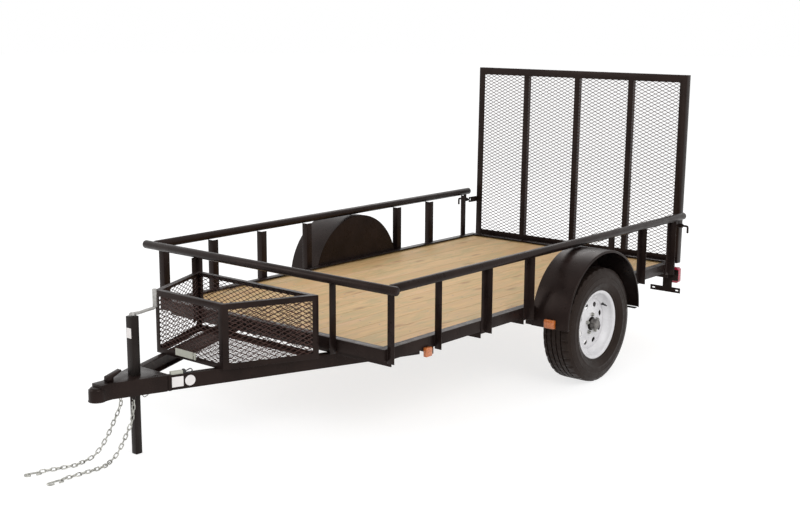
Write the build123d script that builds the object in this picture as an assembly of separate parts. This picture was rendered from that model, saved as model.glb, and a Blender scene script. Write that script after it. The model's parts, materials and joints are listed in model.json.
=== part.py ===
# A single axle utility trailer with a plank deck, pipe rails, a mesh ramp gate and a mesh
# basket on its tongue. Millimetres, +X forward to the coupler, +Y to the trailer's left, +Z up.
# Everything is modelled with X = 0 on the front face of the deck frame, Y = 0 on the centre
# line and Z = 0 on the ground. The last lines move it all to the row's origin.
import os
from math import atan, cos, degrees, pi, sin

from build123d import *

# Deck frame: angle iron with its flange on top
frame_length = 3048.0
frame_width = 1734.0
frame_leg = 63.5
frame_flange = 50.0
frame_wall = 5.0

# Gap left between two pieces that touch, and the smaller one round a turning shaft
seat_gap = 0.3
bearing_gap = 0.05

# Crossmembers under the planks, before and behind the springs' hangers. The shares tell how far
# each one is along its bay
crossmember_leg = 50.8
crossmember_wall = 5.0
crossmember_front_gap = 60.0
crossmember_rear_gap = 37.2
crossmember_hanger_gap = 96.0
crossmember_shares = ((0.0, 0.289, 0.646, 1.0), (0.0, 0.475, 1.0))

# Deck planks, laid lengthwise below the frame's flange
plank_thickness = 38.0
plank_count = 12
plank_gap = 4.0
plank_end_gap = 1.0
plank_drop = 15.0

# Posts of the rails: angle iron on the outside of the frame, in one bay before the fender and
# one behind it. Columns: bay, share of the way along it, then 0 where the post's outward leg is
# at its front edge and 1 where it is at its rear edge, on the left and on the right side
post_leg = 44.5
post_wall = 4.8
post_drop = 12.0
post_front_gap = 24.0
post_before_fender = 41.5
post_behind_fender = 16.0
post_rear_gap = 91.5
side_posts = (
    (0, 0.0, 0, 0), (0, 0.318, 0, 0), (0, 0.658, 1, 0), (0, 1.0, 1, 0),
    (1, 0.0, 0, 0), (1, 0.482, 1, 0), (1, 1.0, 1, 1))
fender_post_ahead = 27.5
front_post_y = 494.0

# Pipe rails
pipe_radius = 24.15
rail_fender_gap = 3.85
pipe_overhang = 38.0

# Wheels, axle and springs
axle_back = 1722.0
tyre_radius = 344.0
tyre_width = 205.0
tyre_tread_width = 165.0
tyre_shoulder_drop = 22.0
tyre_shoulder_inset = 6.0
tyre_sides = 40
bead_radius = 190.5
bead_half = 70.0
bead_collar = 1.0
rim_flange_radius = 207.0
rim_width = 152.0
rim_wall = 5.0
rim_well_depth = 30.0
rim_well_half = 24.0
rim_bead_seat = 19.0
rim_sides = 24
rim_disc_inset = 42.0
rim_disc_wall = 6.0
rim_disc_flat_radius = 90.0
rim_disc_dish = 14.0
hub_bore_radius = 41.5
lug_circle_radius = 57.15
lug_count = 5
lug_turn = 18.0
lug_radius = 10.5
lug_height = 20.0
stud_radius = 6.3
stud_sides = 6
vent_circle_radius = 118.0
vent_count = 8
vent_length = 30.0
vent_width = 14.0
vent_corner = 4.0
hub_flange_radius = 73.0
hub_flange_wall = 11.0
hub_body_radius = 35.0
hub_length = 88.0
hub_cap_radius = 31.0
hub_cap_length = 44.0
hub_cap_wall = 12.0
hub_sides = 16
spindle_radius = 17.5
spindle_end_gap = 2.0
axle_radius = 30.0
axle_hub_gap = 4.0
tyre_frame_gap = 19.0
spring_width = 45.0
spring_leaf = 8.0
spring_leaf_count = 4
spring_half_span = 315.0
spring_leaf_step = 62.0
spring_inset = 40.0
spring_plank_gap = 46.7
hanger_thickness = 23.4
hanger_side_wall = 6.0
hanger_reach = 40.0

# Fenders: a half drum over each wheel with a plate against the frame
fender_tyre_gap = 66.0
fender_rise = 44.0
fender_width = 246.0
fender_wall = 3.0
fender_lip = 14.0
fender_sides = 40
fender_bar_width = 25.0
fender_bar_wall = 6.0
fender_bar_short = 10.0

# Tongue: two channels that meet under the coupler, and the tabs for the chains
tongue_half_at_frame = 430.0
tongue_half_at_nose = 63.4
tongue_leg = 76.0
tongue_flange = 38.0
tongue_wall = 5.0
tongue_back = 560.0
tongue_ball_gap = 144.0
chain_tab_ball_gap = 174.0
chain_tab_y = 50.0
chain_tab_drop = 34.0
chain_tab_length = 32.0
chain_tab_wall = 4.0
chain_tab_hole = 7.5
chain_tab_rim = 7.0
chain_tab_sides = 16

# Coupler: a pressed shell over the beams, a neck and a socket for the ball
coupler_ball_x = 1109.0
coupler_length = 339.0
coupler_neck_half = 32.0
coupler_wall = 5.0
coupler_lip = 20.0
ball_radius = 25.6
nose_wall = 16.0
nose_height = 58.0
nose_crown = 10.0
nose_sides = 16
latch_half = 16.0
latch_block_length = 36.0
latch_block_height = 26.0
latch_lever_length = 84.0
latch_lever_rise = 48.0
latch_lever_wall = 9.0
latch_front_gap = 12.0

# Jack: a square leg that slides in a square tube, and a crank on top
jack_ball_gap = 225.0
jack_tube_side = 44.5
jack_leg_side = 37.6
jack_top = 706.0
jack_cap_wall = 4.0
jack_tube_drop = 14.0
jack_leg_top = 465.0
crank_shaft_radius = 9.0
crank_shaft_depth = 12.0
crank_boss_radius = 15.0
crank_boss_height = 6.0
crank_arm_width = 18.0
crank_arm_wall = 6.0
crank_reach = 142.0
crank_grip = 100.0
crank_grip_radius = 12.0
small_sides = 12

# Basket on the tongue
basket_back_x = 58.0
basket_front_x = 532.0
basket_half_at_back = 470.0
basket_half_at_front = 260.0
basket_top = 740.0
basket_angle = 30.0
basket_wall = 3.0
mesh_wall = 3.0

# Gate, with its mesh drawn as a plain grid
gate_side_gap = 4.0
gate_back = 34.0
gate_drop = 21.0
gate_top = 1768.0
gate_angle = 50.8
gate_bar_angle = 38.1
gate_wall = 4.8
gate_lean = 1.0
gate_bar_y = (-436.0, 0.0, 436.0)
gate_mesh_gap = 1.0
gate_grid_columns = 3
gate_grid_rows = 5
gate_grid_strand = 14.0
gate_hinge_y = (-480.0, 593.0)
hinge_pin_radius = 8.0
hinge_knuckle_radius = 14.0
hinge_knuckle_length = 60.0
hinge_web = 10.0
hinge_lug_length = 14.0
hinge_pin_drop = 19.0
hinge_sides = 12

# Latches beside the gate: a sleeve on a tab below the rail's pipe, a bent pin through it, drawn
# back as it is to let the gate down, and the gate's ear that the pin locks
latch_pin_inset = 43.0
latch_pin_drop = 60.0
latch_pin_radius = 7.0
latch_pin_stand = 44.5
latch_pin_gap = 6.0
latch_tab_wall = 6.0
latch_sleeve_radius = 14.0
latch_sleeve_length = 44.0
latch_handle_length = 46.0
latch_sides = 8
ear_wall = 6.0
ear_height = 40.0
ear_reach = 16.0
ear_weld = 30.0
ear_hole_play = 1.5

# Lamps and the licence bracket
tail_lamp_width = 88.0
tail_lamp_height = 108.0
tail_lamp_depth = 42.0
tail_lamp_corner = 12.0
tail_lamp_inset = 17.0
tail_lamp_drop = 34.5
lamp_plate_wall = 3.0
lamp_plate_width = 90.0
lamp_plate_height = 76.0
marker_side = 50.0
marker_depth = 24.0
marker_back = 336.0
marker_drop = 12.5
fender_marker_out = 133.0
fender_marker_width = 68.0
fender_marker_rise = 28.0
licence_neck_width = 70.0
licence_bar_width = 228.0
licence_bar_inset = 67.0
licence_bar_height = 36.0
licence_slot_spacing = 178.0
licence_slot_length = 22.0
licence_slot_width = 9.0
licence_drop = 156.5

# Safety chains: wire, pitch, the routes of their centre lines and their hooks. The routes' points
# are (x from the ball's centre, y, z)
link_wire = 6.0
link_width = 22.0
link_pitch = 25.4
link_tilt = 45.0
link_tilt_run = 8
link_play = 0.6
chain_lie = 11.8
chain_route_left = (
    (-164.0, 46.0, 190.0), (-134.0, 38.0, 128.0), (-104.0, 26.0, 64.0), (-75.0, 20.0, 26.0),
    (-39.0, 26.0, chain_lie), (7.0, 52.0, chain_lie), (51.0, 58.0, chain_lie),
    (106.0, 56.0, chain_lie), (181.0, 49.0, chain_lie), (253.0, 43.0, chain_lie))
chain_route_right = (
    (-159.0, -50.0, 230.0), (-129.0, -50.0, 180.0), (-94.0, -52.0, 122.0), (-54.0, -56.0, 66.0),
    (-9.0, -64.0, 26.0), (37.0, -76.0, chain_lie), (98.0, -64.0, chain_lie),
    (141.0, -78.0, chain_lie), (192.0, -94.0, chain_lie), (253.0, -117.0, chain_lie))
hook_wire = 8.0
hook_width = 34.0
hook_length = 70.0
hook_mouth = 26.0

# Worked out from the sizes above
half_frame = frame_width / 2
axle_x = -axle_back
spring_seat = tyre_radius + axle_radius + seat_gap
plank_bottom = spring_seat + spring_leaf_count * spring_leaf + spring_plank_gap
deck_top = plank_bottom + plank_thickness
frame_top = deck_top + plank_drop
frame_bottom = frame_top - frame_leg
hanger_end = spring_half_span + seat_gap + hanger_thickness
crossmember_bottom = plank_bottom - crossmember_leg
tongue_top = crossmember_bottom
tongue_bottom = tongue_top - tongue_leg
tongue_front = coupler_ball_x - tongue_ball_gap
tongue_slope = (tongue_half_at_frame - tongue_half_at_nose) / tongue_front
tongue_half_angle = atan(tongue_slope)
coupler_start = coupler_ball_x - coupler_length
chain_tab_x = coupler_ball_x - chain_tab_ball_gap
jack_x = coupler_ball_x - jack_ball_gap
fender_radius = tyre_radius + fender_tyre_gap
fender_centre_height = tyre_radius + fender_rise
pipe_y = half_frame + post_leg
pipe_front_x = pipe_radius
rail_height = fender_centre_height + fender_radius + rail_fender_gap + pipe_radius
post_top = rail_height - pipe_radius - seat_gap
tyre_in = half_frame + tyre_frame_gap
wheel_y = tyre_in + tyre_width / 2
rim_face = rim_width / 2 - rim_disc_inset
hub_back = wheel_y + rim_face - rim_disc_wall - seat_gap
latch_pin_x = -frame_length + latch_pin_inset
latch_pin_height = rail_height - latch_pin_drop
gate_half_width = half_frame - gate_side_gap
gate_x = -frame_length - gate_back
gate_low = frame_top - gate_drop
hinge_x = gate_x - gate_angle / 2
hinge_z = gate_low - hinge_pin_drop
basket_slope = (basket_half_at_back - basket_half_at_front) / (basket_front_x - basket_back_x)
basket_base = tongue_top + seat_gap
chain_hole_z = tongue_bottom - chain_tab_drop + chain_tab_rim + chain_tab_hole
link_half = (link_pitch + link_play) / 2
chain_start_z = chain_hole_z - (chain_tab_hole**2 - (link_wire / 2) ** 2) ** 0.5 - link_half + seat_gap

nodes = {}


def box(x, y, z):
    """A box from three (low, high) pairs."""
    size = [pair[1] - pair[0] for pair in (x, y, z)]
    return Pos((x[0] + x[1]) / 2, (y[0] + y[1]) / 2, (z[0] + z[1]) / 2) * Box(*size)


def around(centre, size):
    """The (low, high) pair of a size about its centre."""
    return centre - size / 2, centre + size / 2


def rod(start, end, radius, sides):
    """A straight bar with flat sides from one point to another."""
    run = Vector(*end) - Vector(*start)
    return extrude(Plane(origin=start, z_dir=run) * RegularPolygon(radius, sides), run.length)


def round_bar(start, end, radius):
    """A true cylinder from one point to another."""
    run = Vector(*end) - Vector(*start)
    return extrude(Plane(origin=start, z_dir=run) * Circle(radius), run.length)


def turned(outline, sides):
    """An outline of (radius, height), anticlockwise, turned about the Z axis in flat steps."""
    rings = []
    for number in range(sides):
        angle = 2 * pi * number / sides
        rings.append([Vector(radius * cos(angle), radius * sin(angle), z) for radius, z in outline])
    faces = []
    for first, second in zip(rings, rings[1:] + rings[:1]):
        for i in range(len(outline)):
            j = (i + 1) % len(outline)
            faces.append(Face(Wire.make_polygon([first[i], first[j], second[j], second[i]])))
    return Solid(Shell(faces))


def symmetric(outline):
    """An outline of (radius, height) from its upper half, given from the top down."""
    return [(radius, -height) for radius, height in outline] + outline[::-1]


def mirrored(shape):
    """The same piece on the other side of the centre line."""
    return mirror(shape, Plane.XZ)


def both(name, shape):
    nodes[name + "_left"] = shape
    nodes[name + "_right"] = mirrored(shape)


def tongue_y(x):
    """Outer face of a tongue beam at x."""
    return tongue_half_at_frame - tongue_slope * x


def deck_frame():
    length = (-frame_length, 0)
    flange_z = (frame_top - frame_wall, frame_top)
    side = box(length, (half_frame - frame_wall, half_frame), (frame_bottom, frame_top))
    side += box(length, (half_frame - frame_flange, half_frame), flange_z)
    both("frame_rail", side)
    between = half_frame - frame_wall - seat_gap
    across = half_frame - frame_flange - seat_gap
    for name, face, inward in (("front", 0.0, -1), ("rear", -frame_length, 1)):
        web = sorted((face, face + inward * frame_wall))
        flange = sorted((face, face + inward * frame_flange))
        rail = box(web, (-between, between), (frame_bottom, frame_top - frame_wall - seat_gap))
        rail += box(web, (-across, across), (frame_bottom, frame_top))
        rail += box(flange, (-across, across), flange_z)
        nodes["frame_rail_" + name] = rail


def between(start, end, share):
    """The place at a share of the way from start to end."""
    return start + (end - start) * share


def crossmember(back):
    """A crossmember whose front edge is at a distance behind the front face."""
    reach = half_frame - frame_wall - seat_gap
    y = (-reach, reach)
    depth = (-back - crossmember_leg, -back)
    web = box((-back - crossmember_wall, -back), y, (crossmember_bottom, plank_bottom))
    return web + box(depth, y, (plank_bottom - crossmember_wall, plank_bottom))


def deck():
    room = hanger_end + crossmember_hanger_gap
    bays = (
        (crossmember_front_gap, axle_back - room - crossmember_leg),
        (axle_back + room, frame_length - crossmember_rear_gap - crossmember_leg))
    members = []
    for bay, shares in zip(bays, crossmember_shares):
        for share in shares:
            members.append(crossmember(between(*bay, share)))
    nodes["crossmembers"] = Compound(members)
    end = frame_wall + plank_end_gap
    reach = half_frame - end
    pitch = (2 * reach + plank_gap) / plank_count
    planks = []
    for number in range(plank_count):
        y = (-reach + number * pitch, -reach + (number + 1) * pitch - plank_gap)
        planks.append(box((-frame_length + end, -end), y, (plank_bottom, deck_top)))
    nodes["deck_planks"] = Compound(planks)


def side_post(back, rear_leg, low):
    """A post on the left side, its outward leg at its front or rear edge."""
    height = (low, post_top)
    flat = box((-back - post_leg, -back), (half_frame, half_frame + post_wall), height)
    edge = -back - rear_leg * (post_leg - post_wall)
    return flat + box((edge - post_wall, edge), (half_frame, pipe_y), height)


def posts():
    low = frame_bottom - post_drop
    foot = fender_centre_height + fender_radius + seat_gap
    bays = (
        (post_front_gap, axle_back - fender_radius - post_before_fender - post_leg),
        (axle_back + fender_radius + post_behind_fender, frame_length - post_rear_gap - post_leg))
    left = [side_post(axle_back - fender_post_ahead - post_leg, 1, foot)]
    right = [mirrored(left[0])]
    for bay, share, left_leg, right_leg in side_posts:
        back = between(*bays[bay], share)
        left.append(side_post(back, left_leg, low))
        right.append(mirrored(side_post(back, right_leg, low)))
    nodes["posts_left"] = Compound(left)
    nodes["posts_right"] = Compound(right)
    y = (front_post_y, front_post_y + post_leg)
    front = box((0, post_wall), y, (low, post_top))
    front += box((0, post_leg), (y[1] - post_wall, y[1]), (low, post_top))
    nodes["posts_front"] = Compound([front, mirrored(front)])


def top_rails():
    half = pipe_y + pipe_radius + pipe_overhang
    front_end = pipe_front_x - pipe_radius - seat_gap
    at_left = (pipe_front_x, half, rail_height)
    nodes["top_rail_front"] = round_bar((pipe_front_x, -half, rail_height), at_left, pipe_radius)
    rear = (-frame_length, pipe_y, rail_height)
    both("top_rail", round_bar(rear, (front_end, pipe_y, rail_height), pipe_radius))


def half_disc(radius, y, thickness):
    """Upper half disc of the fender in the XZ plane, from y outwards."""
    disc = extrude(Plane.XZ * RegularPolygon(radius, fender_sides), thickness, dir=(0, 1, 0))
    disc = Pos(axle_x, y, fender_centre_height) * disc
    keep = (fender_centre_height, fender_centre_height + radius)
    return disc & box(around(axle_x, 2 * radius), (y, y + thickness), keep)


def fender():
    inner_y = half_frame + seat_gap
    lip_y = inner_y + fender_width - fender_wall
    outer = half_disc(fender_radius, inner_y, fender_width)
    inner = half_disc(fender_radius - fender_wall, inner_y + fender_wall, fender_width)
    lip = half_disc(fender_radius, lip_y, fender_wall)
    lip -= half_disc(fender_radius - fender_lip, lip_y, fender_wall)
    both("fender", outer - inner + lip)


def fender_brackets():
    """Flat bars under the fenders' feet, turned up inside the frame's rail."""
    top = fender_centre_height - seat_gap
    low = top - fender_bar_wall
    web = half_frame - frame_wall - seat_gap
    outer = half_frame + fender_width - fender_bar_short
    bars = []
    for sign in (1, -1):
        x = around(axle_x + sign * (fender_radius - fender_bar_width), fender_bar_width)
        bar = box(x, (web - fender_bar_wall, outer), (low, top))
        bars.append(bar + box(x, (web - fender_bar_wall, web), (low, plank_bottom - seat_gap)))
    nodes["fender_brackets"] = Compound(bars + [mirrored(bar) for bar in bars])


def on_axle(shape):
    """Stands a piece made about the Z axis on the left wheel's centre, +Z outwards."""
    return Pos(axle_x, wheel_y, tyre_radius) * Rot(-90, 0, 0) * shape


def on_lugs(shape, start=0):
    """A piece repeated at the wheel's studs."""
    places = []
    for number in range(lug_count):
        turn = Rot(0, 0, 360 / lug_count * number + lug_turn)
        places.append(turn * Pos(lug_circle_radius, 0, start) * shape)
    return places


def tyre():
    half = tyre_width / 2
    side_radius = (tyre_radius + bead_radius) / 2
    side = [
        (bead_radius, bead_half), (rim_flange_radius + bead_collar, bead_half), (side_radius, half),
        (tyre_radius - tyre_shoulder_drop, half - tyre_shoulder_inset), (tyre_radius, tyre_tread_width / 2)]
    return on_axle(turned(symmetric(side), tyre_sides))


def rim():
    half = rim_width / 2
    bead = bead_half + seat_gap
    seat = (bead_radius - seat_gap) * cos(pi / tyre_sides)
    well = seat - rim_well_depth
    drop = bead - rim_bead_seat
    outside = [
        (rim_flange_radius, half), (rim_flange_radius, bead), (seat, bead), (seat, drop),
        (well, rim_well_half)]
    inside = [(seat - rim_wall, half), (well - rim_wall, rim_well_half)]
    shape = turned(symmetric(outside) + symmetric(inside)[::-1], rim_sides)
    reach = well - rim_wall / 2
    flat = rim_disc_flat_radius
    edge = rim_face - rim_disc_dish
    back = rim_face - rim_disc_wall
    disc = turned([
        (hub_bore_radius, back), (flat, back), (reach, edge - rim_disc_wall), (reach, edge),
        (flat, rim_face), (hub_bore_radius, rim_face)], rim_sides)
    cut = rim_disc_dish + 2 * rim_disc_wall
    disc -= on_lugs(extrude(RegularPolygon(stud_radius + seat_gap, stud_sides), cut), rim_face - cut)
    corners = Rectangle(vent_width, vent_length)
    vent = extrude(chamfer(corners.vertices(), vent_corner), 2 * cut)
    for number in range(vent_count):
        turn = Rot(0, 0, 360 / vent_count * (number + 0.5))
        disc -= turn * Pos(vent_circle_radius, 0, rim_face - cut) * vent
    return on_axle(shape + disc)


def hub():
    """The hub with its flange, studs, nuts and cap, bored for the spindle."""
    start = hub_back - hub_length
    cap_end = wheel_y + rim_face + hub_cap_length

    def drum(radius, low, high):
        return rod((axle_x, low, tyre_radius), (axle_x, high, tyre_radius), radius, hub_sides)

    shape = drum(hub_flange_radius, hub_back - hub_flange_wall, hub_back)
    shape += drum(hub_body_radius, start, hub_back)
    shape += drum(hub_cap_radius, hub_back, cap_end)
    low = rim_face - rim_disc_wall - hub_flange_wall
    stud = extrude(RegularPolygon(stud_radius, stud_sides), rim_face - low + lug_height)
    nut = extrude(RegularPolygon(lug_radius, stud_sides), lug_height)
    shape += [on_axle(piece) for piece in on_lugs(stud, low) + on_lugs(nut, rim_face + seat_gap)]
    bore_end = (axle_x, cap_end - hub_cap_wall, tyre_radius)
    return shape - round_bar((axle_x, start, tyre_radius), bore_end, spindle_radius + bearing_gap)


def axle():
    tube_end = hub_back - hub_length - axle_hub_gap
    spindle_end = wheel_y + rim_face + hub_cap_length - hub_cap_wall - spindle_end_gap
    beam = rod((axle_x, -tube_end, tyre_radius), (axle_x, tube_end, tyre_radius), axle_radius, hub_sides)
    left_end = (axle_x, spindle_end, tyre_radius)
    return beam + round_bar((axle_x, -spindle_end, tyre_radius), left_end, spindle_radius)


def leaf_spring():
    y = (half_frame - spring_inset - spring_width, half_frame - spring_inset)
    shape = None
    for number in range(spring_leaf_count):
        span = 2 * (spring_half_span - number * spring_leaf_step)
        low = spring_seat + (spring_leaf_count - 1 - number) * spring_leaf
        leaf = box(around(axle_x, span), y, (low, low + spring_leaf))
        shape = leaf if shape is None else shape + leaf
    return shape


def running_gear():
    both("tyre", tyre())
    both("rim", rim())
    both("hub", hub())
    nodes["axle"] = axle()
    both("leaf_spring", leaf_spring())
    inner = half_frame - spring_inset - spring_width - hanger_side_wall
    y = (inner, half_frame - frame_wall - seat_gap)
    low = spring_seat + spring_leaf_count * spring_leaf - hanger_reach
    hangers = []
    for sign in (1, -1):
        x = around(axle_x + sign * (hanger_end - hanger_thickness / 2), hanger_thickness)
        hangers.append(box(x, y, (low, plank_bottom - seat_gap)))
    nodes["spring_hangers"] = Compound(hangers + [mirrored(hanger) for hanger in hangers])


def tongue():
    length = (tongue_front + tongue_back) / cos(tongue_half_angle)
    outline = Polygon(
        (0, 0), (-tongue_flange, 0), (-tongue_flange, tongue_wall), (-tongue_wall, tongue_wall),
        (-tongue_wall, tongue_leg - tongue_wall), (-tongue_flange, tongue_leg - tongue_wall),
        (-tongue_flange, tongue_leg), (0, tongue_leg), align=None)
    channel = extrude(Plane.YZ * outline, length, dir=(1, 0, 0))
    turn = Rot(0, 0, -degrees(tongue_half_angle))
    beam = Pos(-tongue_back, tongue_y(-tongue_back), tongue_bottom) * turn * channel
    beam &= box((-frame_length, tongue_front), (1, frame_width), (0, frame_top))
    tab = box(
        around(chain_tab_x, chain_tab_length), around(chain_tab_y, chain_tab_wall),
        (tongue_bottom - chain_tab_drop, tongue_bottom + tongue_wall / 2))
    hole = ((chain_tab_x, y, chain_hole_z) for y in (0, 2 * chain_tab_y))
    tab -= rod(*hole, chain_tab_hole, chain_tab_sides)
    both("tongue_beam", beam + tab)


def coupler():
    """A pressed A frame coupler: flared sides over the beam ends, a neck and a ball socket."""
    low = tongue_bottom - seat_gap
    top = tongue_top + seat_gap
    skin = (coupler_wall + seat_gap) / cos(tongue_half_angle)
    neck = coupler_neck_half + skin
    shoulder_x = (tongue_half_at_frame + skin - neck) / tongue_slope
    rear_half = tongue_y(coupler_start) + skin
    outline = Polygon(
        (coupler_start, -rear_half), (shoulder_x, -neck), (coupler_ball_x, -neck), (coupler_ball_x, neck),
        (shoulder_x, neck), (coupler_start, rear_half), align=None)
    inside = offset(outline, -coupler_wall, kind=Kind.INTERSECTION)
    shape = Pos(0, 0, low) * extrude(outline, top + coupler_wall - low)
    shape -= Pos(0, 0, low) * extrude(inside, top - low)
    mouth = 2 * (tongue_y(coupler_start) + seat_gap)
    shape -= box((coupler_start, coupler_start + coupler_lip), around(0, mouth), (low, top))
    nose_radius = ball_radius + nose_wall
    nose = extrude(RegularPolygon(nose_radius, nose_sides), nose_height)
    cap = extrude(RegularPolygon(nose_radius - nose_crown, nose_sides), nose_crown)
    nose += Pos(0, 0, nose_height) * cap
    nose -= extrude(Circle(ball_radius), ball_radius)
    crown = extrude(RegularPolygon(ball_radius - nose_crown / 2, nose_sides), nose_crown)
    nose -= Pos(0, 0, ball_radius) * crown
    socket = extrude(Circle(ball_radius), ball_radius + nose_crown)
    jack_hole = jack_tube_side + 2 * seat_gap
    shape -= box(around(jack_x, jack_hole), around(0, jack_hole), (top, top + coupler_wall))
    nodes["coupler"] = shape - Pos(coupler_ball_x, 0, low) * socket + Pos(coupler_ball_x, 0, low) * nose
    plate = top + coupler_wall + seat_gap
    end = coupler_ball_x - nose_radius - latch_front_gap
    step = end - latch_block_length
    back = end - latch_lever_length
    outline = Polygon(
        (step, plate), (end, plate), (end, plate + latch_block_height),
        (back, plate + latch_lever_rise), (back, plate + latch_lever_rise - latch_lever_wall),
        (step, plate + latch_block_height - latch_lever_wall), align=None)
    nodes["coupler_latch"] = extrude(Plane.XZ * outline, latch_half, both=True)


def square(side, low, high):
    return box(around(0, side), around(0, side), (low, high))


def jack():
    at = Pos(jack_x, 0, 0)
    tube = square(jack_tube_side, tongue_bottom - jack_tube_drop, jack_top)
    tube -= square(jack_leg_side + 2 * seat_gap, 0, jack_top - jack_cap_wall)
    tube -= round_bar((0, 0, jack_leg_top), (0, 0, jack_top), crank_shaft_radius + bearing_gap)
    nodes["jack_tube"] = at * tube
    nodes["jack_leg"] = at * square(jack_leg_side, 0, jack_leg_top)
    arm = jack_top + crank_boss_height
    arm_x = (-crank_reach - crank_arm_width / 2, crank_boss_radius)
    crank = round_bar((0, 0, jack_top - crank_shaft_depth), (0, 0, arm), crank_shaft_radius)
    crank += rod((0, 0, jack_top + seat_gap), (0, 0, arm), crank_boss_radius, small_sides)
    crank += box(arm_x, around(0, crank_arm_width), (arm, arm + crank_arm_wall))
    grip_end = (-crank_reach, 0, arm + crank_arm_wall + crank_grip)
    crank += rod((-crank_reach, 0, arm + crank_arm_wall), grip_end, crank_grip_radius, small_sides)
    nodes["jack_crank"] = at * crank


def basket_half(x):
    return basket_half_at_back - basket_slope * (x - basket_back_x)


def basket():
    corners = [
        (basket_back_x, -basket_half_at_back), (basket_front_x, -basket_half_at_front),
        (basket_front_x, basket_half_at_front), (basket_back_x, basket_half_at_back)]
    plan = Polygon(*corners, align=None)

    def prism(inset, low=basket_base, high=basket_top):
        shape = offset(plan, -inset, kind=Kind.INTERSECTION) if inset else plan
        return Pos(0, 0, low) * extrude(shape, high - low)

    low_ring = basket_base + basket_angle
    top_ring = basket_top - basket_angle
    frame = prism(0, basket_base, low_ring) - prism(basket_wall)
    frame += prism(0, top_ring, basket_top) - prism(basket_wall)
    frame += prism(0, basket_base, basket_base + basket_wall) - prism(basket_angle)
    frame += prism(0, basket_top - basket_wall, basket_top) - prism(basket_angle)
    shell = prism(0) - prism(basket_wall)
    for x, y in corners:
        leg = box(around(x, 2 * basket_angle), around(y, 2 * basket_angle), (basket_base, basket_top))
        frame += shell & leg
    nodes["basket_frame"] = frame
    inside = basket_wall + seat_gap
    floor = basket_base + inside
    nodes["basket_floor"] = prism(inside, floor, floor + mesh_wall)
    ring = prism(inside, floor + mesh_wall + seat_gap, basket_top - inside) - prism(inside + mesh_wall)
    reach = inside + mesh_wall + seat_gap
    for name, x, sign in (("back", basket_back_x, 1), ("front", basket_front_x, -1)):
        sheet_x = sorted((x + sign * inside, x + sign * (inside + mesh_wall)))
        half = basket_half(x + sign * reach) - 2 * reach
        nodes["basket_" + name] = ring & box(sheet_x, (-half, half), (0, basket_top))
    side = ring & box((basket_back_x + reach, basket_front_x - reach), (1, frame_width), (0, basket_top))
    both("basket_side", side)


def leaned(shape):
    """Tips a piece of the gate back about the hinge pins."""
    return Pos(hinge_x, 0, hinge_z) * Rot(0, -gate_lean, 0) * Pos(-hinge_x, 0, -hinge_z) * shape


def steps(low, high, count):
    """Equal openings with a strand between each two, as (low, high) pairs."""
    pitch = (high - low + gate_grid_strand) / count
    return [(low + i * pitch, low + (i + 1) * pitch - gate_grid_strand) for i in range(count)]


def grid(sheet):
    """The openings of the gate's mesh, between its angles and its bars."""
    half_bar = gate_bar_angle / 2
    edge = gate_half_width - gate_angle + half_bar
    stops = (-edge, *gate_bar_y, edge)
    rows = steps(gate_low + gate_angle, gate_top - gate_angle, gate_grid_rows)
    openings = []
    for low, high in zip(stops, stops[1:]):
        for y in steps(low + half_bar, high - half_bar, gate_grid_columns):
            openings += [box(sheet, y, z) for z in rows]
    return openings


def gate():
    y = gate_half_width
    wide = (-y, y)
    tall = (gate_low, gate_top)
    depth = (gate_x - gate_angle, gate_x)
    face = (gate_x - gate_wall, gate_x)
    side = box(face, (y - gate_angle, y), tall) + box(depth, (y - gate_wall, y), tall)
    frame = side + mirrored(side)
    for low, high in ((gate_top - gate_angle, gate_top), (gate_low, gate_low + gate_angle)):
        frame += box(face, wide, (low, high))
    for low in (gate_top - gate_wall, gate_low):
        frame += box(depth, wide, (low, low + gate_wall))
    bar_depth = (gate_x - gate_bar_angle, gate_x)
    back = gate_x - gate_wall - seat_gap
    rim = gate_wall + gate_mesh_gap
    sheet = (back - mesh_wall, back)
    panel = box(sheet, (-y + rim, y - rim), (gate_low + rim, gate_top - rim)) - grid(sheet)
    for bar_y in gate_bar_y:
        edge = bar_y + gate_bar_angle / 2
        frame += box(face, around(bar_y, gate_bar_angle), tall)
        frame += box(bar_depth, (edge - gate_wall, edge), tall)
        panel -= box(depth, (edge - gate_wall - seat_gap, edge + seat_gap), tall)
    ear_x = (gate_x - ear_weld, latch_pin_x + ear_reach)
    ear = box(ear_x, (y, y + ear_wall), around(latch_pin_height, ear_height))
    ear -= latch_bar((y, y + ear_wall), latch_pin_radius + ear_hole_play)
    frame += ear + mirrored(ear)
    nodes["gate_frame"] = leaned(frame)
    nodes["gate_mesh"] = leaned(panel)


def hinges():
    """Knuckles welded to the frame, and the gate's ears and pins on both sides of them."""
    sleeves = []
    lugs = []
    width = 2 * hinge_knuckle_radius
    for y in gate_hinge_y:
        knuckle = around(y, hinge_knuckle_length)
        room = around(y, hinge_knuckle_length + 2 * seat_gap)
        ends = around(y, hinge_knuckle_length + 2 * (seat_gap + hinge_lug_length))
        start, end = ((hinge_x, each, hinge_z) for each in ends)
        barrel = ((hinge_x, each, hinge_z) for each in knuckle)
        sleeve = rod(*barrel, hinge_knuckle_radius, hinge_sides)
        sleeve += box((hinge_x, -frame_length - seat_gap), knuckle, around(hinge_z, hinge_web))
        sleeves.append(sleeve - round_bar(start, end, hinge_pin_radius + bearing_gap))
        ears = rod(start, end, hinge_knuckle_radius, hinge_sides)
        ears += box(around(hinge_x, width), ends, (hinge_z, gate_low - seat_gap))
        ears -= box(around(hinge_x, 2 * width), room, around(hinge_z, 2 * width))
        lugs.append(leaned(ears + round_bar(start, end, hinge_pin_radius)))
    nodes["hinge_sleeves"] = Compound(sleeves)
    nodes["gate_hinge_lugs"] = Compound(lugs)


def latch_bar(y, radius):
    """A bar along a latch's pin, between two places across the trailer."""
    start, end = ((latch_pin_x, each, latch_pin_height) for each in y)
    return rod(start, end, radius, latch_sides)


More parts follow.
